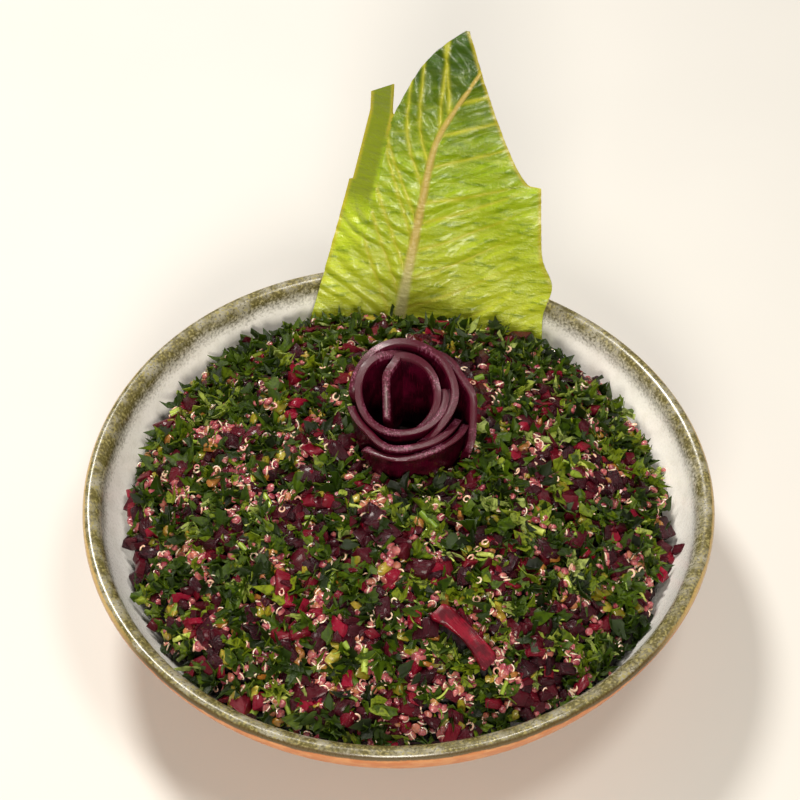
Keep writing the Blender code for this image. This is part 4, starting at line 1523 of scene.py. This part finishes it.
@dataclass
class Lettuce:
    """The leaf that stands at the back: a broad blade, its left margin turned and torn.

    Its outlines are formulas with round figures, set to lie within about 2 mm of outlines that
    were measured point by point beforehand. Its rib and veins were set to follow points
    measured in the same way. Lengths are in millimetres, across from its foot and along from
    the rim's height, but for its foot and thickness.
    """

    foot: Vector
    lean: float = math.radians(62)
    yaw: float = math.radians(6)
    thickness: float = 0.7 * MM
    base_mm: float = -18.0
    base_round: float = 1.2
    notch_mm: float = 53.0
    tip_mm: float = 78.0
    tip_across: float = 15.0
    right_low: float = 43.0
    right_high: float = 39.0
    right_bulge: float = 3.0
    bulge_at: float = 5.0
    bulge_size: float = 6.0
    tear_at: float = 35.0
    tear_depth: float = 3.0
    right_taper: float = 0.75
    left_tip_bend: float = 0.4
    crease_low: float = -18.0
    crease_high: float = -4.0
    crease_ease: float = 0.9
    margin_low: float = 9.5
    margin_high: float = 8.0
    nick_at: float = 32.0
    nick_depth: float = 1.0
    margin_top_mm: float = 60.0
    margin_slant_mm: float = 1.8
    margin_gap_mm: float = 0.5
    rib_mm: float = 5.0
    half_width_mm: float = 38.0
    cup_mm: float = 1.8
    bend: float = 0.85
    ruffle_mm: float = 1.2
    waves_across: float = 0.160
    waves_along: float = 0.095
    turned_shade_from: float = 26.0
    rib_start: float = 1.4
    rib_slope: float = 0.14
    rib_bend: float = 1.4
    rib_bend_at: float = 47.0
    rib_bend_ease: float = 3.0
    rib_width: float = 1.9
    rib_thinning: float = 0.0185
    rib_proud: float = 0.45
    vein_count: int = 9
    vein_first: float = -12.0
    vein_spacing: float = 8.5
    vein_stray: float = 0.45
    right_slope: tuple[float, float] = (0.34, 0.25)
    left_slope: tuple[float, float] = (1.7, 0.5)
    vein_bend: float = 0.009
    vein_width: float = 0.62
    vein_thinning: float = 0.014
    vein_reach: tuple[float, float] = (34.0, 16.0)
    vein_sink: float = 0.3
    pucker_height: float = 1.1
    crinkle_height: float = 0.3
    turn_ease: float = 4.0
    torn_edge_highlight: tuple[float, float] = (1.3, 0.4)
    edge_rim: tuple[float, float] = (1.4, 0.2)
    upright_from: float = 30.0
    columns: int = 120
    low_rows: int = 150
    high_rows: int = 52
    margin_columns: int = 34
    margin_rows: int = 14
    finish: LeafFinish = field(default_factory=LeafFinish)

    def low_share(self, t: np.ndarray) -> np.ndarray:
        """How far t lies from the leaf's base, 0, to its notch, 1."""
        return np.clip((t - self.base_mm) / (self.notch_mm - self.base_mm), 0.0, 1.0)

    def right_edge(self, t: np.ndarray) -> np.ndarray:
        """The blade's right edge: it bulges near its foot, is torn in, then tapers."""
        share = np.clip((t - self.base_mm) / (self.tear_at - self.base_mm), 0.0, 1.0)
        bulge = self.right_bulge * np.exp(-((t - self.bulge_at) / self.bulge_size) ** 2)
        low = self.right_low + (self.right_high - self.right_low) * share + bulge
        share = np.clip((t - self.tear_at) / (self.tip_mm - self.tear_at), 0.0, 1.0)
        start = self.right_high - self.tear_depth
        high = start + (self.tip_across + 1.0 - start) * share ** self.right_taper
        return np.where(t < self.tear_at, low, high)

    def left_edge(self, t: np.ndarray) -> np.ndarray:
        """The blade's left edge from the notch to the tip."""
        share = np.clip((t - self.notch_mm) / (self.tip_mm - self.notch_mm), 0.0, 1.0)
        slant = (1.0 - self.left_tip_bend) * share + self.left_tip_bend * share ** 4
        return self.crease_high + (self.tip_across - self.crease_high) * slant

    def crease(self, t: np.ndarray) -> np.ndarray:
        """The crease between blade and margin; above the notch it goes straight up."""
        rise = self.low_share(t) ** self.crease_ease
        return self.crease_low + (self.crease_high - self.crease_low) * rise

    def margin_edge(self, t: np.ndarray) -> np.ndarray:
        """The turned margin's own edge, with a nick in it."""
        width = self.margin_low + (self.margin_high - self.margin_low) * self.low_share(t)
        return self.crease(t) - width + np.where(t > self.nick_at, self.nick_depth, 0.0)

    def rib_line(self, t: np.ndarray) -> np.ndarray:
        """Distance across of the rib: nearly straight, then bending to the right edge."""
        past = np.clip((t - self.rib_bend_at) / self.rib_bend_ease, -30.0, 30.0)
        return self.rib_start + self.rib_slope * t + self.rib_bend * np.log1p(np.exp(past))

    def veins(self, across: np.ndarray, t: np.ndarray) -> tuple[np.ndarray, np.ndarray]:
        """How near each point lies to a side vein and to the rib, both 0 to 1."""
        off = across - self.rib_line(t)
        near = np.zeros_like(off)
        for side in (1.0, -1.0):
            away = np.maximum(side * off, 0.0)
            steep, vary = self.right_slope if side > 0.0 else self.left_slope
            for number in range(self.vein_count):
                stray = noise.noise(Vector((1.9 * number, 4.0 * side, 0.5)))
                start = self.vein_first + self.vein_spacing * (number + self.vein_stray * stray)
                slope = steep + vary * stray
                bend = self.vein_bend * (1.0 - number / self.vein_count)
                line = start + slope * away + bend * away ** 2
                slant = np.sqrt(1.0 + (slope + 2.0 * bend * away) ** 2)
                width = self.vein_width * (1.0 - self.vein_thinning * away)
                hit = np.exp(-((t - line) / slant / width) ** 2)
                hit = hit * ramp(-0.5, 0.5, side * off) * ramp(*self.vein_reach, away)
                near = np.maximum(near, hit)
        width = self.rib_width - self.rib_thinning * (t + 10.0)
        rib = 1.0 - ramp(0.45, 1.25, np.abs(off) / np.clip(width, 0.5, 3.0))
        return near * (1.0 - rib), rib

    def relief(self, across: np.ndarray, t: np.ndarray) -> np.ndarray:
        """How far the blade stands forward of its smooth form, in millimetres."""
        near, rib = self.veins(across, t)
        off = across - self.rib_line(t)
        pucker = np.zeros_like(off)
        for k, (a, s) in enumerate(zip(off, t)):
            slow = noise.noise(Vector((a * 0.10, s * 0.28 - abs(a) * 0.12, 0.0)))
            quick = noise.noise(Vector((a * 0.25, s * 0.7 - abs(a) * 0.35, 5.0)))
            pucker[k] = 0.9 * slow + 0.35 * quick
        left_side = ramp(-1.0, -5.0, off)
        crinkle = np.sin(1.15 * t + 0.9 * off + 1.6 * np.sin(0.35 * t)) * left_side
        blade = self.pucker_height * pucker + self.crinkle_height * crinkle - self.vein_sink * near
        relief = blade * (1.0 - rib) + self.rib_proud * rib
        return relief * ramp(-16.0, 4.0, t)

    def surface(self, across: np.ndarray, t: np.ndarray) -> np.ndarray:
        """Points of the leaf's middle surface, in metres."""
        side = np.array([math.cos(self.yaw), -math.sin(self.yaw), 0.0])
        back = np.array([math.sin(self.yaw), math.cos(self.yaw), 0.0])
        up = back * math.cos(self.lean) + np.array([0.0, 0.0, math.sin(self.lean)])
        front = np.cross(side, up)
        above = ramp(0.0, self.upright_from, t)
        proud = self.cup_mm * ((across - self.rib_mm) / self.half_width_mm) ** 2
        proud -= self.bend * above * np.maximum(0.0, self.crease(t) - across)
        wave = np.sin(self.waves_across * across + self.waves_along * t)
        proud += self.ruffle_mm * above * ramp(10.0, 30.0, across) * wave
        top_strip = ramp(2.0, -1.0, across - self.crease(t)) * ramp(20.0, 32.0, t)
        proud += self.relief(across, t) * (1.0 - top_strip)
        return (np.array(self.foot) + np.outer(across * MM, side) + np.outer(t * MM, up)
                + np.outer(proud * MM, front))

    def base(self, across: np.ndarray) -> np.ndarray:
        """Where the leaf ends below, hidden behind the heap."""
        return self.base_mm + self.base_round * MM * (across - self.rib_mm) ** 2

    def _flat(self, u: np.ndarray, v: np.ndarray, sides: tuple[Edge, Edge],
              high_sides: tuple[Edge, Edge], split: float,
              top_mm: np.ndarray | float) -> tuple[np.ndarray, np.ndarray]:
        """Places on a part of the leaf.

        Args:
            u: 0 at its left edge, 1 at its right.
            v: 0 at the leaf's base, split at the notch, 1 at the part's top.
            sides: Its left and right edge below the notch.
            high_sides: The same above it.
            split: The v of the notch.
            top_mm: How far along the leaf the part's top lies.

        Returns:
            Distances across and along the leaf.
        """
        low = np.minimum(v / split, 1.0)
        t = self.base_mm + (self.notch_mm - self.base_mm) * low
        across = sides[0](t) + (sides[1](t) - sides[0](t)) * u
        start = self.base(across)
        t_low = start + (self.notch_mm - start) * low
        high = np.clip((v - split) / (1.0 - split), 0.0, 1.0)
        t_high = self.notch_mm + (top_mm - self.notch_mm) * high
        over = high_sides[0](t_high) + (high_sides[1](t_high) - high_sides[0](t_high)) * u
        upper = v > split + 1e-6
        return np.where(upper, over, across), np.where(upper, t_high, t_low)

    def build(self) -> bpy.types.Object:
        """Lay the blade and the margin, join them along the crease and thicken them."""
        low, high, margin_high = self.low_rows, self.high_rows, self.margin_rows
        places: list[tuple[np.ndarray, np.ndarray]] = []

        def blade(u: np.ndarray, v: np.ndarray) -> np.ndarray:
            flat = self._flat(u, v, (self.crease, self.right_edge),
                              (self.left_edge, self.right_edge), low / (low + high),
                              self.tip_mm)
            places.append(flat)
            return self.surface(*flat)

        def margin(u: np.ndarray, v: np.ndarray) -> np.ndarray:
            def torn(t: np.ndarray) -> np.ndarray:
                return self.crease(t) - self.margin_gap_mm

            top = self.margin_top_mm + self.margin_slant_mm * (2.0 * u - 1.0)
            flat = self._flat(u, v, (self.margin_edge, self.crease),
                              (self.margin_edge, torn), low / (low + margin_high), top)
            places.append(flat)
            return self.surface(*flat)

        leaf = grid("lettuce_blade", self.columns, low + high, blade)
        turned = grid("lettuce_margin", self.margin_columns, low + margin_high, margin)
        for obj, (across, t), is_turned in ((leaf, places[0], 0.0), (turned, places[1], 1.0)):
            self._carry_marks(obj, across, t, is_turned)
        pick(leaf)
        turned.select_set(True)
        bpy.ops.object.join()
        with editing(leaf):
            bpy.ops.mesh.remove_doubles(threshold=2e-5)
            bpy.ops.mesh.normals_make_consistent(inside=False)
        thicken(leaf, self.thickness)
        leaf.name = "lettuce_leaf_fresh"
        smooth(leaf, 60.0)
        return present(leaf, self.finish.material(), "lettuce", "lettuce_leaf")

    def _carry_marks(self, obj: bpy.types.Object, across: np.ndarray, t: np.ndarray,
                     turned: float) -> None:
        """Let the mesh carry what its finish reads."""
        vein, rib = self.veins(across, t)
        on_blade = 1.0 - turned
        # Where the turned margin is painted darker as shade: its upper part, away from the crease.
        fold = ramp(0.0, -1.6, across - self.crease(t)) * turned
        fold = fold * ramp(self.turned_shade_from - self.turn_ease, self.turned_shade_from + self.turn_ease, t)
        edge = self.margin_edge(t) if turned else self.right_edge(t)
        rim = ramp(*self.edge_rim, np.abs(across - edge)) * ramp(-5.0, 20.0, t)
        # Near the crease at the top, the margin's torn edge gets a painted highlight.
        if turned:
            near = ramp(*self.torn_edge_highlight, np.abs(across - self.crease(t)))
            rim = np.maximum(rim, near * ramp(44.0, 50.0, t))
        carry(obj, "rise", t / self.tip_mm)
        carry(obj, "vein", vein * on_blade)
        carry(obj, "rib", rib * on_blade)
        carry(obj, "turned", fold)
        carry(obj, "rim", rim)
        carry(obj, "local", np.stack([across, t, 0.0 * t], axis=1))


# ---- beet rose and strip --------------------------------------------------------------------------


@dataclass(frozen=True)
class SliceFinish:
    """Thin slices of cooked beet: nearly black in their shade, with pale mauve streaks on their cut
    rims that are partly cut fibres and partly painted highlight.
    """

    flesh: Colour = tone(62, 4, 24)
    deep: Colour = tone(34, 2, 12)
    warm: Colour = tone(104, 5, 36)
    rim: Colour = tone(70, 4, 26)
    # Mauve streaks on the cut rims: partly cut fibres, partly painted highlight.
    streak: Colour = tone(170, 100, 128)
    cloud_size: float = 4.0
    fibre_size: float = 0.5
    fibre_shape: tuple[float, float, float] = (1.6, 0.12, 1.0)
    rim_highlight_patch_size: float = 9.0
    bump_depth: float = 0.00012

    def material(self) -> bpy.types.Material:
        """The material, read by how far along and how near its rim a point lies."""
        g = Graph("beet_slice")
        along = g.vector("local")
        rim = g.value("rim")
        cloud = g.noise(self.cloud_size, 3.0, along)
        fibre = g.noise(self.fibre_size, 3.0, g.node("ShaderNodeMapping", inputs={
            "Vector": along, "Scale": self.fibre_shape}))
        colour = g.mix(cloud.step(0.35, 0.65), self.flesh, self.deep)
        colour = g.mix(fibre.step(0.55, 0.75) * 0.5, colour, self.warm)
        band = rim.step(0.15, 0.6)
        # Patches of the rim carry pale mauve streaks, partly painted highlight.
        where = g.noise(self.rim_highlight_patch_size, 1.0, along).step(0.48, 0.62)
        pale = g.mix(fibre.step(0.5, 0.62) * where * 0.7, self.rim, self.streak)
        colour = g.mix(band * 0.9, colour, pale)
        roughness = 0.14 + cloud * 0.12 + band * 0.18
        normal = g.bump(fibre, self.bump_depth)
        return g.finish(colour, roughness, normal, Coat_Weight=0.1, Coat_Roughness=0.1,
                        Specular_IOR_Level=0.35)


@dataclass
class BeetRose:
    """Slices of beet rolled round each other, stood up in the heap like a rose."""

    centre: Vector
    slice: float = 2.1 * MM
    core: float = 8.3 * MM
    pitch: float = 2.1 * MM
    flare: float = 0.14
    height: float = 20.5 * MM
    rim_tilt: float = 3.5 * MM
    rim_ends: float = 0.78
    inner_end: tuple[float, float] = (-3.4 * MM, -4.5 * MM)
    edge_round: float = 0.22 * MM
    lip_flare: float = 0.6 * MM
    lip_wobble: float = 0.5 * MM
    lip_wave: float = 4.6 * MM
    side_wobble: float = 0.008
    side_wave: float = 2.3 * MM
    side_rise: float = 4.0 * MM
    step: float = math.radians(3)
    end_steps: int = 31
    wall_top: float = 0.92
    wall_rows: int = 12
    corner_from: float = 0.95
    corner_rows: int = 6
    petals: tuple = (
        (-70, 165, (0, 0), (0.92, 0.98)),
        (50, 330, (1, 1), (0.98, 0.96)),
        (285, 245, (2, 2), (0.95, 1.0)),
        (185, 160, (2, 2, 3, 3, 3), (0.92, 0.88)),
        (230, 115, (3.3, 4, 4, 4), (0.84, 0.80)),
        (-30, 95, (5.5, 4.5, 3.5, 3), (0.55, 0.98)),
    )
    finish: SliceFinish = field(default_factory=SliceFinish)

    def build(self) -> None:
        """Roll every slice."""
        material = self.finish.material()
        for number, petal in enumerate(self.petals, start=1):
            self._roll(number, *petal, material)

    def _track(self, number: int, start: float, sweep: float,
               rings: tuple[float, ...]) -> np.ndarray:
        """Places (x, y) along a slice's middle, seen from above, evenly fine."""
        count = int(math.radians(sweep) / self.step)
        share = np.linspace(0.0, 1.0, count + 1)
        place = share * (len(rings) - 1)
        k = np.minimum(place.astype(int), len(rings) - 2)
        ring = np.array(rings)[k] + np.diff(rings)[k] * ramp(0.0, 1.0, place - k)
        radius = self.core + self.pitch * ring
        turn = np.radians(start + sweep * share)
        track = np.stack([radius * np.cos(turn), radius * np.sin(turn)], axis=1)
        if number == 1:
            share = np.linspace(0.0, 1.0, self.end_steps)[1:]
            last = track[-1]
            x = last[0] + (self.inner_end[0] - last[0]) * ramp(0.0, 0.45, share)
            y = last[1] + (self.inner_end[1] - last[1]) * share
            track = np.concatenate([track, np.stack([x, y], axis=1)])
        return track

    def _section(self) -> np.ndarray:
        """The slice's closed section: (offset across, share of height, share of rim)."""
        half, soft = self.slice / 2, self.edge_round
        wall = [(half, share, 0.0) for share in np.linspace(0.0, self.wall_top, self.wall_rows)]
        turns = np.radians(np.linspace(0, 75, self.corner_rows))
        corner = [(half - soft * (1.0 - math.cos(turn)), self.corner_from + 0.05 * math.sin(turn),
                   0.3 + 0.7 * math.sin(turn)) for turn in turns]
        side = wall + corner
        back = [(-offset, share, rim) for offset, share, rim in reversed(side)]
        return np.array(side + [(0.0, 1.0, 1.0)] + back + [side[0]])

    def _roll(self, number: int, start: float, sweep: float, rings: tuple[float, ...],
              shares: tuple[float, float], material: bpy.types.Material) -> None:
        """Sweep the section along one slice's track."""
        track = self._track(number, start, sweep, rings)
        section = self._section()
        run = np.concatenate([[0.0], np.cumsum(np.hypot(*np.diff(track, axis=0).T))])
        marks: dict[str, np.ndarray] = {}

        def place(u: np.ndarray, v: np.ndarray) -> np.ndarray:
            i = np.round(u * (len(track) - 1)).astype(int)
            j = np.round(v * (len(section) - 1)).astype(int)
            x, y = track[i].T
            heading = np.gradient(track, axis=0)
            heading /= np.linalg.norm(heading, axis=1)[:, None]
            offset, rise, rim = section[j].T
            angle = np.arctan2(y, x)
            reach = 2.0 * i / (len(track) - 1) - 1.0
            share = shares[0] + (shares[1] - shares[0]) * (reach + 1.0) / 2.0
            rounded = np.sqrt(np.clip(1.0 - reach ** 2, 0.0, 1.0))
            top = self.height * share * (self.rim_ends + (1.0 - self.rim_ends) * rounded)
            top = top + self.rim_tilt * np.sin(angle)
            top = top + self.lip_wobble * np.sin(run[i] / self.lip_wave + 2.0 * number)
            height = rise * top
            outward = offset + self.lip_flare * ramp(0.70, 1.0, rise) ** 2
            px = x + heading[i, 1] * outward
            py = y - heading[i, 0] * outward
            wide = 1.0 - 0.5 * self.flare + self.flare * height / self.height
            phase = run[i] / self.side_wave + height / self.side_rise + number
            wobble = 1.0 + self.side_wobble * np.sin(phase)
            marks["rim"] = rim
            marks["local"] = np.stack([run[i] / MM, height / MM, offset / MM], axis=1)
            return np.stack([self.centre.x + px * wide * wobble,
                             self.centre.y + py * wide * wobble,
                             self.centre.z + height], axis=1)

        name = "beet_slice_%d" % number
        petal = grid(name, len(track) - 1, len(section) - 1, place)
        for key, values in marks.items():
            carry(petal, key, values)
        close(petal, 1e-6)
        smooth(petal, 55.0)
        present(petal, material, "beet_slice", "rose_petal_%d" % number)


@dataclass(frozen=True)
class StripFinish:
    """Cooked beet cut along its fibres: deep crimson with pink streaks."""

    flesh: Colour = tone(122, 2, 30)
    deep: Colour = tone(76, 1, 18)
    streak: Colour = tone(172, 52, 88)
    fibre_size: float = 0.55
    fibre_shape: tuple[float, float, float] = (0.22, 1.6, 1.0)
    cloud_size: float = 3.0
    bump_depth: float = 0.0003

    def material(self) -> bpy.types.Material:
        """The material, streaked along the strip."""
        g = Graph("beet_strip")
        local = g.vector("local")
        fibre = g.noise(self.fibre_size, 4.0, g.node("ShaderNodeMapping", inputs={
            "Vector": local, "Scale": self.fibre_shape}))
        cloud = g.noise(self.cloud_size, 3.0, local)
        colour = g.mix(cloud.step(0.4, 0.65), self.flesh, self.deep)
        colour = g.mix(fibre.step(0.6, 0.74) * 0.35, colour, self.streak)
        normal = g.bump(fibre * 0.7 + cloud * 0.3, self.bump_depth)
        return g.finish(colour, 0.40 + cloud * 0.12, normal, Coat_Weight=0.2,
                        Coat_Roughness=0.15, Specular_IOR_Level=0.15)


@dataclass
class BeetStrip:
    """The long strip of beet on the front of the heap, waisted between its cut ends."""

    length: float = 19.5 * MM
    width: float = 5.6 * MM
    thickness: float = 2.2 * MM
    waist: float = 0.28
    bow: float = 1.4 * MM
    soft: float = 0.35
    end_taper: float = 0.22
    end_share: float = 0.06
    swell: float = 0.15
    ripple: float = 0.12 * MM
    columns: int = 40
    around: int = 32
    finish: StripFinish = field(default_factory=StripFinish)

    def _place(self) -> Matrix:
        """The strip's middle and axes, read from the frame's own solid."""
        points = points_of(frame["nodes"]["beet_strip"])
        middle = points.mean(axis=0)
        axes = np.linalg.svd(points - middle, full_matrices=False)[2]
        along = Vector(axes[0]) * (1.0 if axes[0][0] > 0 else -1.0)
        up = Vector(axes[2]) * (1.0 if axes[2][2] > 0 else -1.0)
        across = up.cross(along)
        return Matrix.Translation(Vector(middle)) @ Matrix((along, across, up)).transposed().to_4x4()

    def build(self) -> bpy.types.Object:
        """Shape a slab from a grid wrapped round its length."""
        place = np.array(self._place())
        marks: dict[str, np.ndarray] = {}

        def wrap(u: np.ndarray, v: np.ndarray) -> np.ndarray:
            x = (u - 0.5) * self.length
            half = self.width / 2 * (1.0 - self.waist * np.sin(math.pi * u))
            to_end = np.minimum(u, 1.0 - u)
            half = half * (1.0 - self.end_taper * ramp(self.end_share, 0.0, to_end))
            turn = 2.0 * math.pi * v
            square_y = np.sign(np.cos(turn)) * np.abs(np.cos(turn)) ** self.soft
            square_z = np.sign(np.sin(turn)) * np.abs(np.sin(turn)) ** self.soft
            y = half * square_y + self.bow * (np.sin(math.pi * u) - 0.5)
            thick = self.thickness / 2 * (1.0 + self.swell * np.sin(9.0 * u + 2.0 * v))
            z = thick * square_z
            local = np.stack([x, y, z], axis=1)
            marks["local"] = local / MM
            ripple = self.ripple * np.sin(2.6 * local[:, 1] / MM + 0.4 * local[:, 0] / MM)
            local[:, 2] += ripple * np.sign(square_z)
            return local @ place[:3, :3].T + place[:3, 3]

        strip = grid("beet_strip_cut", self.columns, self.around, wrap)
        for key, values in marks.items():
            carry(strip, key, values)
        close(strip, 1e-6)
        smooth(strip, 50.0)
        return present(strip, self.finish.material(), "beet", "beet_strip")


# ---- studio -------------------------------------------------------------------------------------


@dataclass(frozen=True)
class FloorFinish:
    """A plain pale table top."""

    colour: Colour = tone(214, 212, 208)
    faint: Colour = tone(206, 204, 200)

    def material(self) -> bpy.types.Material:
        """The material."""
        g = Graph("pale_table")
        colour = g.mix(g.noise(0.09, 2.0), self.colour, self.faint)
        return g.finish(colour, 0.6)


@dataclass(frozen=True)
class Lamp:
    """A soft box aimed at the bowl: where it hangs, how large and how bright it is."""

    name: str
    at: tuple[float, float, float]
    size: float
    power: float
    colour: Colour = (1.0, 1.0, 1.0)


@dataclass
class Studio:
    """Pale table, soft boxes and the camera that looks down on the bowl."""

    rim_height: float
    distance: float = 0.60
    elevation: float = math.radians(48.5)
    lens: float = 100.26
    aim_right: float = 0.0004
    aim_up: float = 0.0236
    table_radius: float = 1.6
    drop: float = 0.0002
    world: float = 0.15
    world_colour: tuple[float, float, float, float] = (1.0, 0.95, 0.88, 1.0)
    sensor: float = 36.0
    near: float = 0.01
    far: float = 10.0
    table_sides: int = 96
    lamps: tuple[Lamp, ...] = (
        Lamp("window", (-0.30, 0.50, 0.85), 0.22, 9.0, (1.0, 0.96, 0.89)),
        Lamp("top", (0.25, -0.10, 1.0), 0.25, 3.5, (1.0, 0.95, 0.88)),
        Lamp("front", (-0.05, -0.95, 0.62), 0.34, 10.5, (1.0, 0.94, 0.82)),
    )

    def build(self) -> None:
        """Set the table, hang the lamps and place the camera."""
        self._table()
        for lamp in self.lamps:
            self._hang(lamp)
        world = bpy.data.worlds.new("studio")
        world.use_nodes = True
        background = world.node_tree.nodes["Background"]
        background.inputs["Color"].default_value = self.world_colour
        background.inputs["Strength"].default_value = self.world
        bpy.context.scene.world = world
        bpy.context.scene.view_settings.view_transform = "Standard"
        self._camera()

    def _table(self) -> None:
        """A round table top, softened at its edge."""
        deselect()
        bpy.ops.mesh.primitive_circle_add(vertices=self.table_sides, radius=self.table_radius,
                                          fill_type="NGON", location=(0.0, 0.0, -self.drop))
        table = bpy.context.active_object
        table.name = "table_top"
        settle_at_origin(table)
        table.data.materials.append(FloorFinish().material())

    def _hang(self, lamp: Lamp) -> None:
        """Hang one soft box, pointed at the bowl."""
        light = bpy.data.lights.new(lamp.name, "AREA")
        light.shape = "DISK"
        light.size = lamp.size
        light.energy = lamp.power
        light.color = lamp.colour
        obj = bpy.data.objects.new(lamp.name, light)
        obj.location = lamp.at
        obj.rotation_euler = (-Vector(lamp.at)).to_track_quat("-Z", "Y").to_euler()
        bpy.context.scene.collection.objects.link(obj)

    def _camera(self) -> None:
        """A level camera that looks along +Y and down."""
        data = bpy.data.cameras.new("camera")
        data.lens = self.lens
        data.sensor_width = self.sensor
        data.clip_start, data.clip_end = self.near, self.far
        camera = bpy.data.objects.new("camera", data)
        back = Vector((0.0, -math.cos(self.elevation), math.sin(self.elevation)))
        up = Vector((0.0, math.sin(self.elevation), math.cos(self.elevation)))
        aim = Vector((self.aim_right, 0.0, self.rim_height)) + up * self.aim_up
        camera.location = aim + back * self.distance
        camera.rotation_euler = (math.pi / 2 - self.elevation, 0.0, 0.0)
        bpy.context.scene.collection.objects.link(camera)
        bpy.context.scene.camera = camera


# ---- all of it ------------------------------------------------------------------------------------


def main() -> None:
    """Build the bowl of salad and its studio, and log how many triangles each piece has."""
    logging.basicConfig(level=logging.INFO, format="%(name)s: %(message)s", stream=sys.stdout)
    # Blender's vector noise is shifted by a random amount of its own, so it is seeded too.
    noise.seed_set(SEED)
    rng = np.random.default_rng(SEED)
    bowl = Bowl.from_frame()
    bowl.build()
    Salad(rng, bowl).build()
    Lettuce(foot=Vector((0.0, 72.5 * MM, bowl.rim_height))).build()
    BeetRose(centre=Vector((1.0 * MM, 12.0 * MM, bowl.rim_height + 6.0 * MM))).build()
    BeetStrip().build()
    Studio(rim_height=bowl.rim_height).build()


if __name__ == "__main__":
    main()
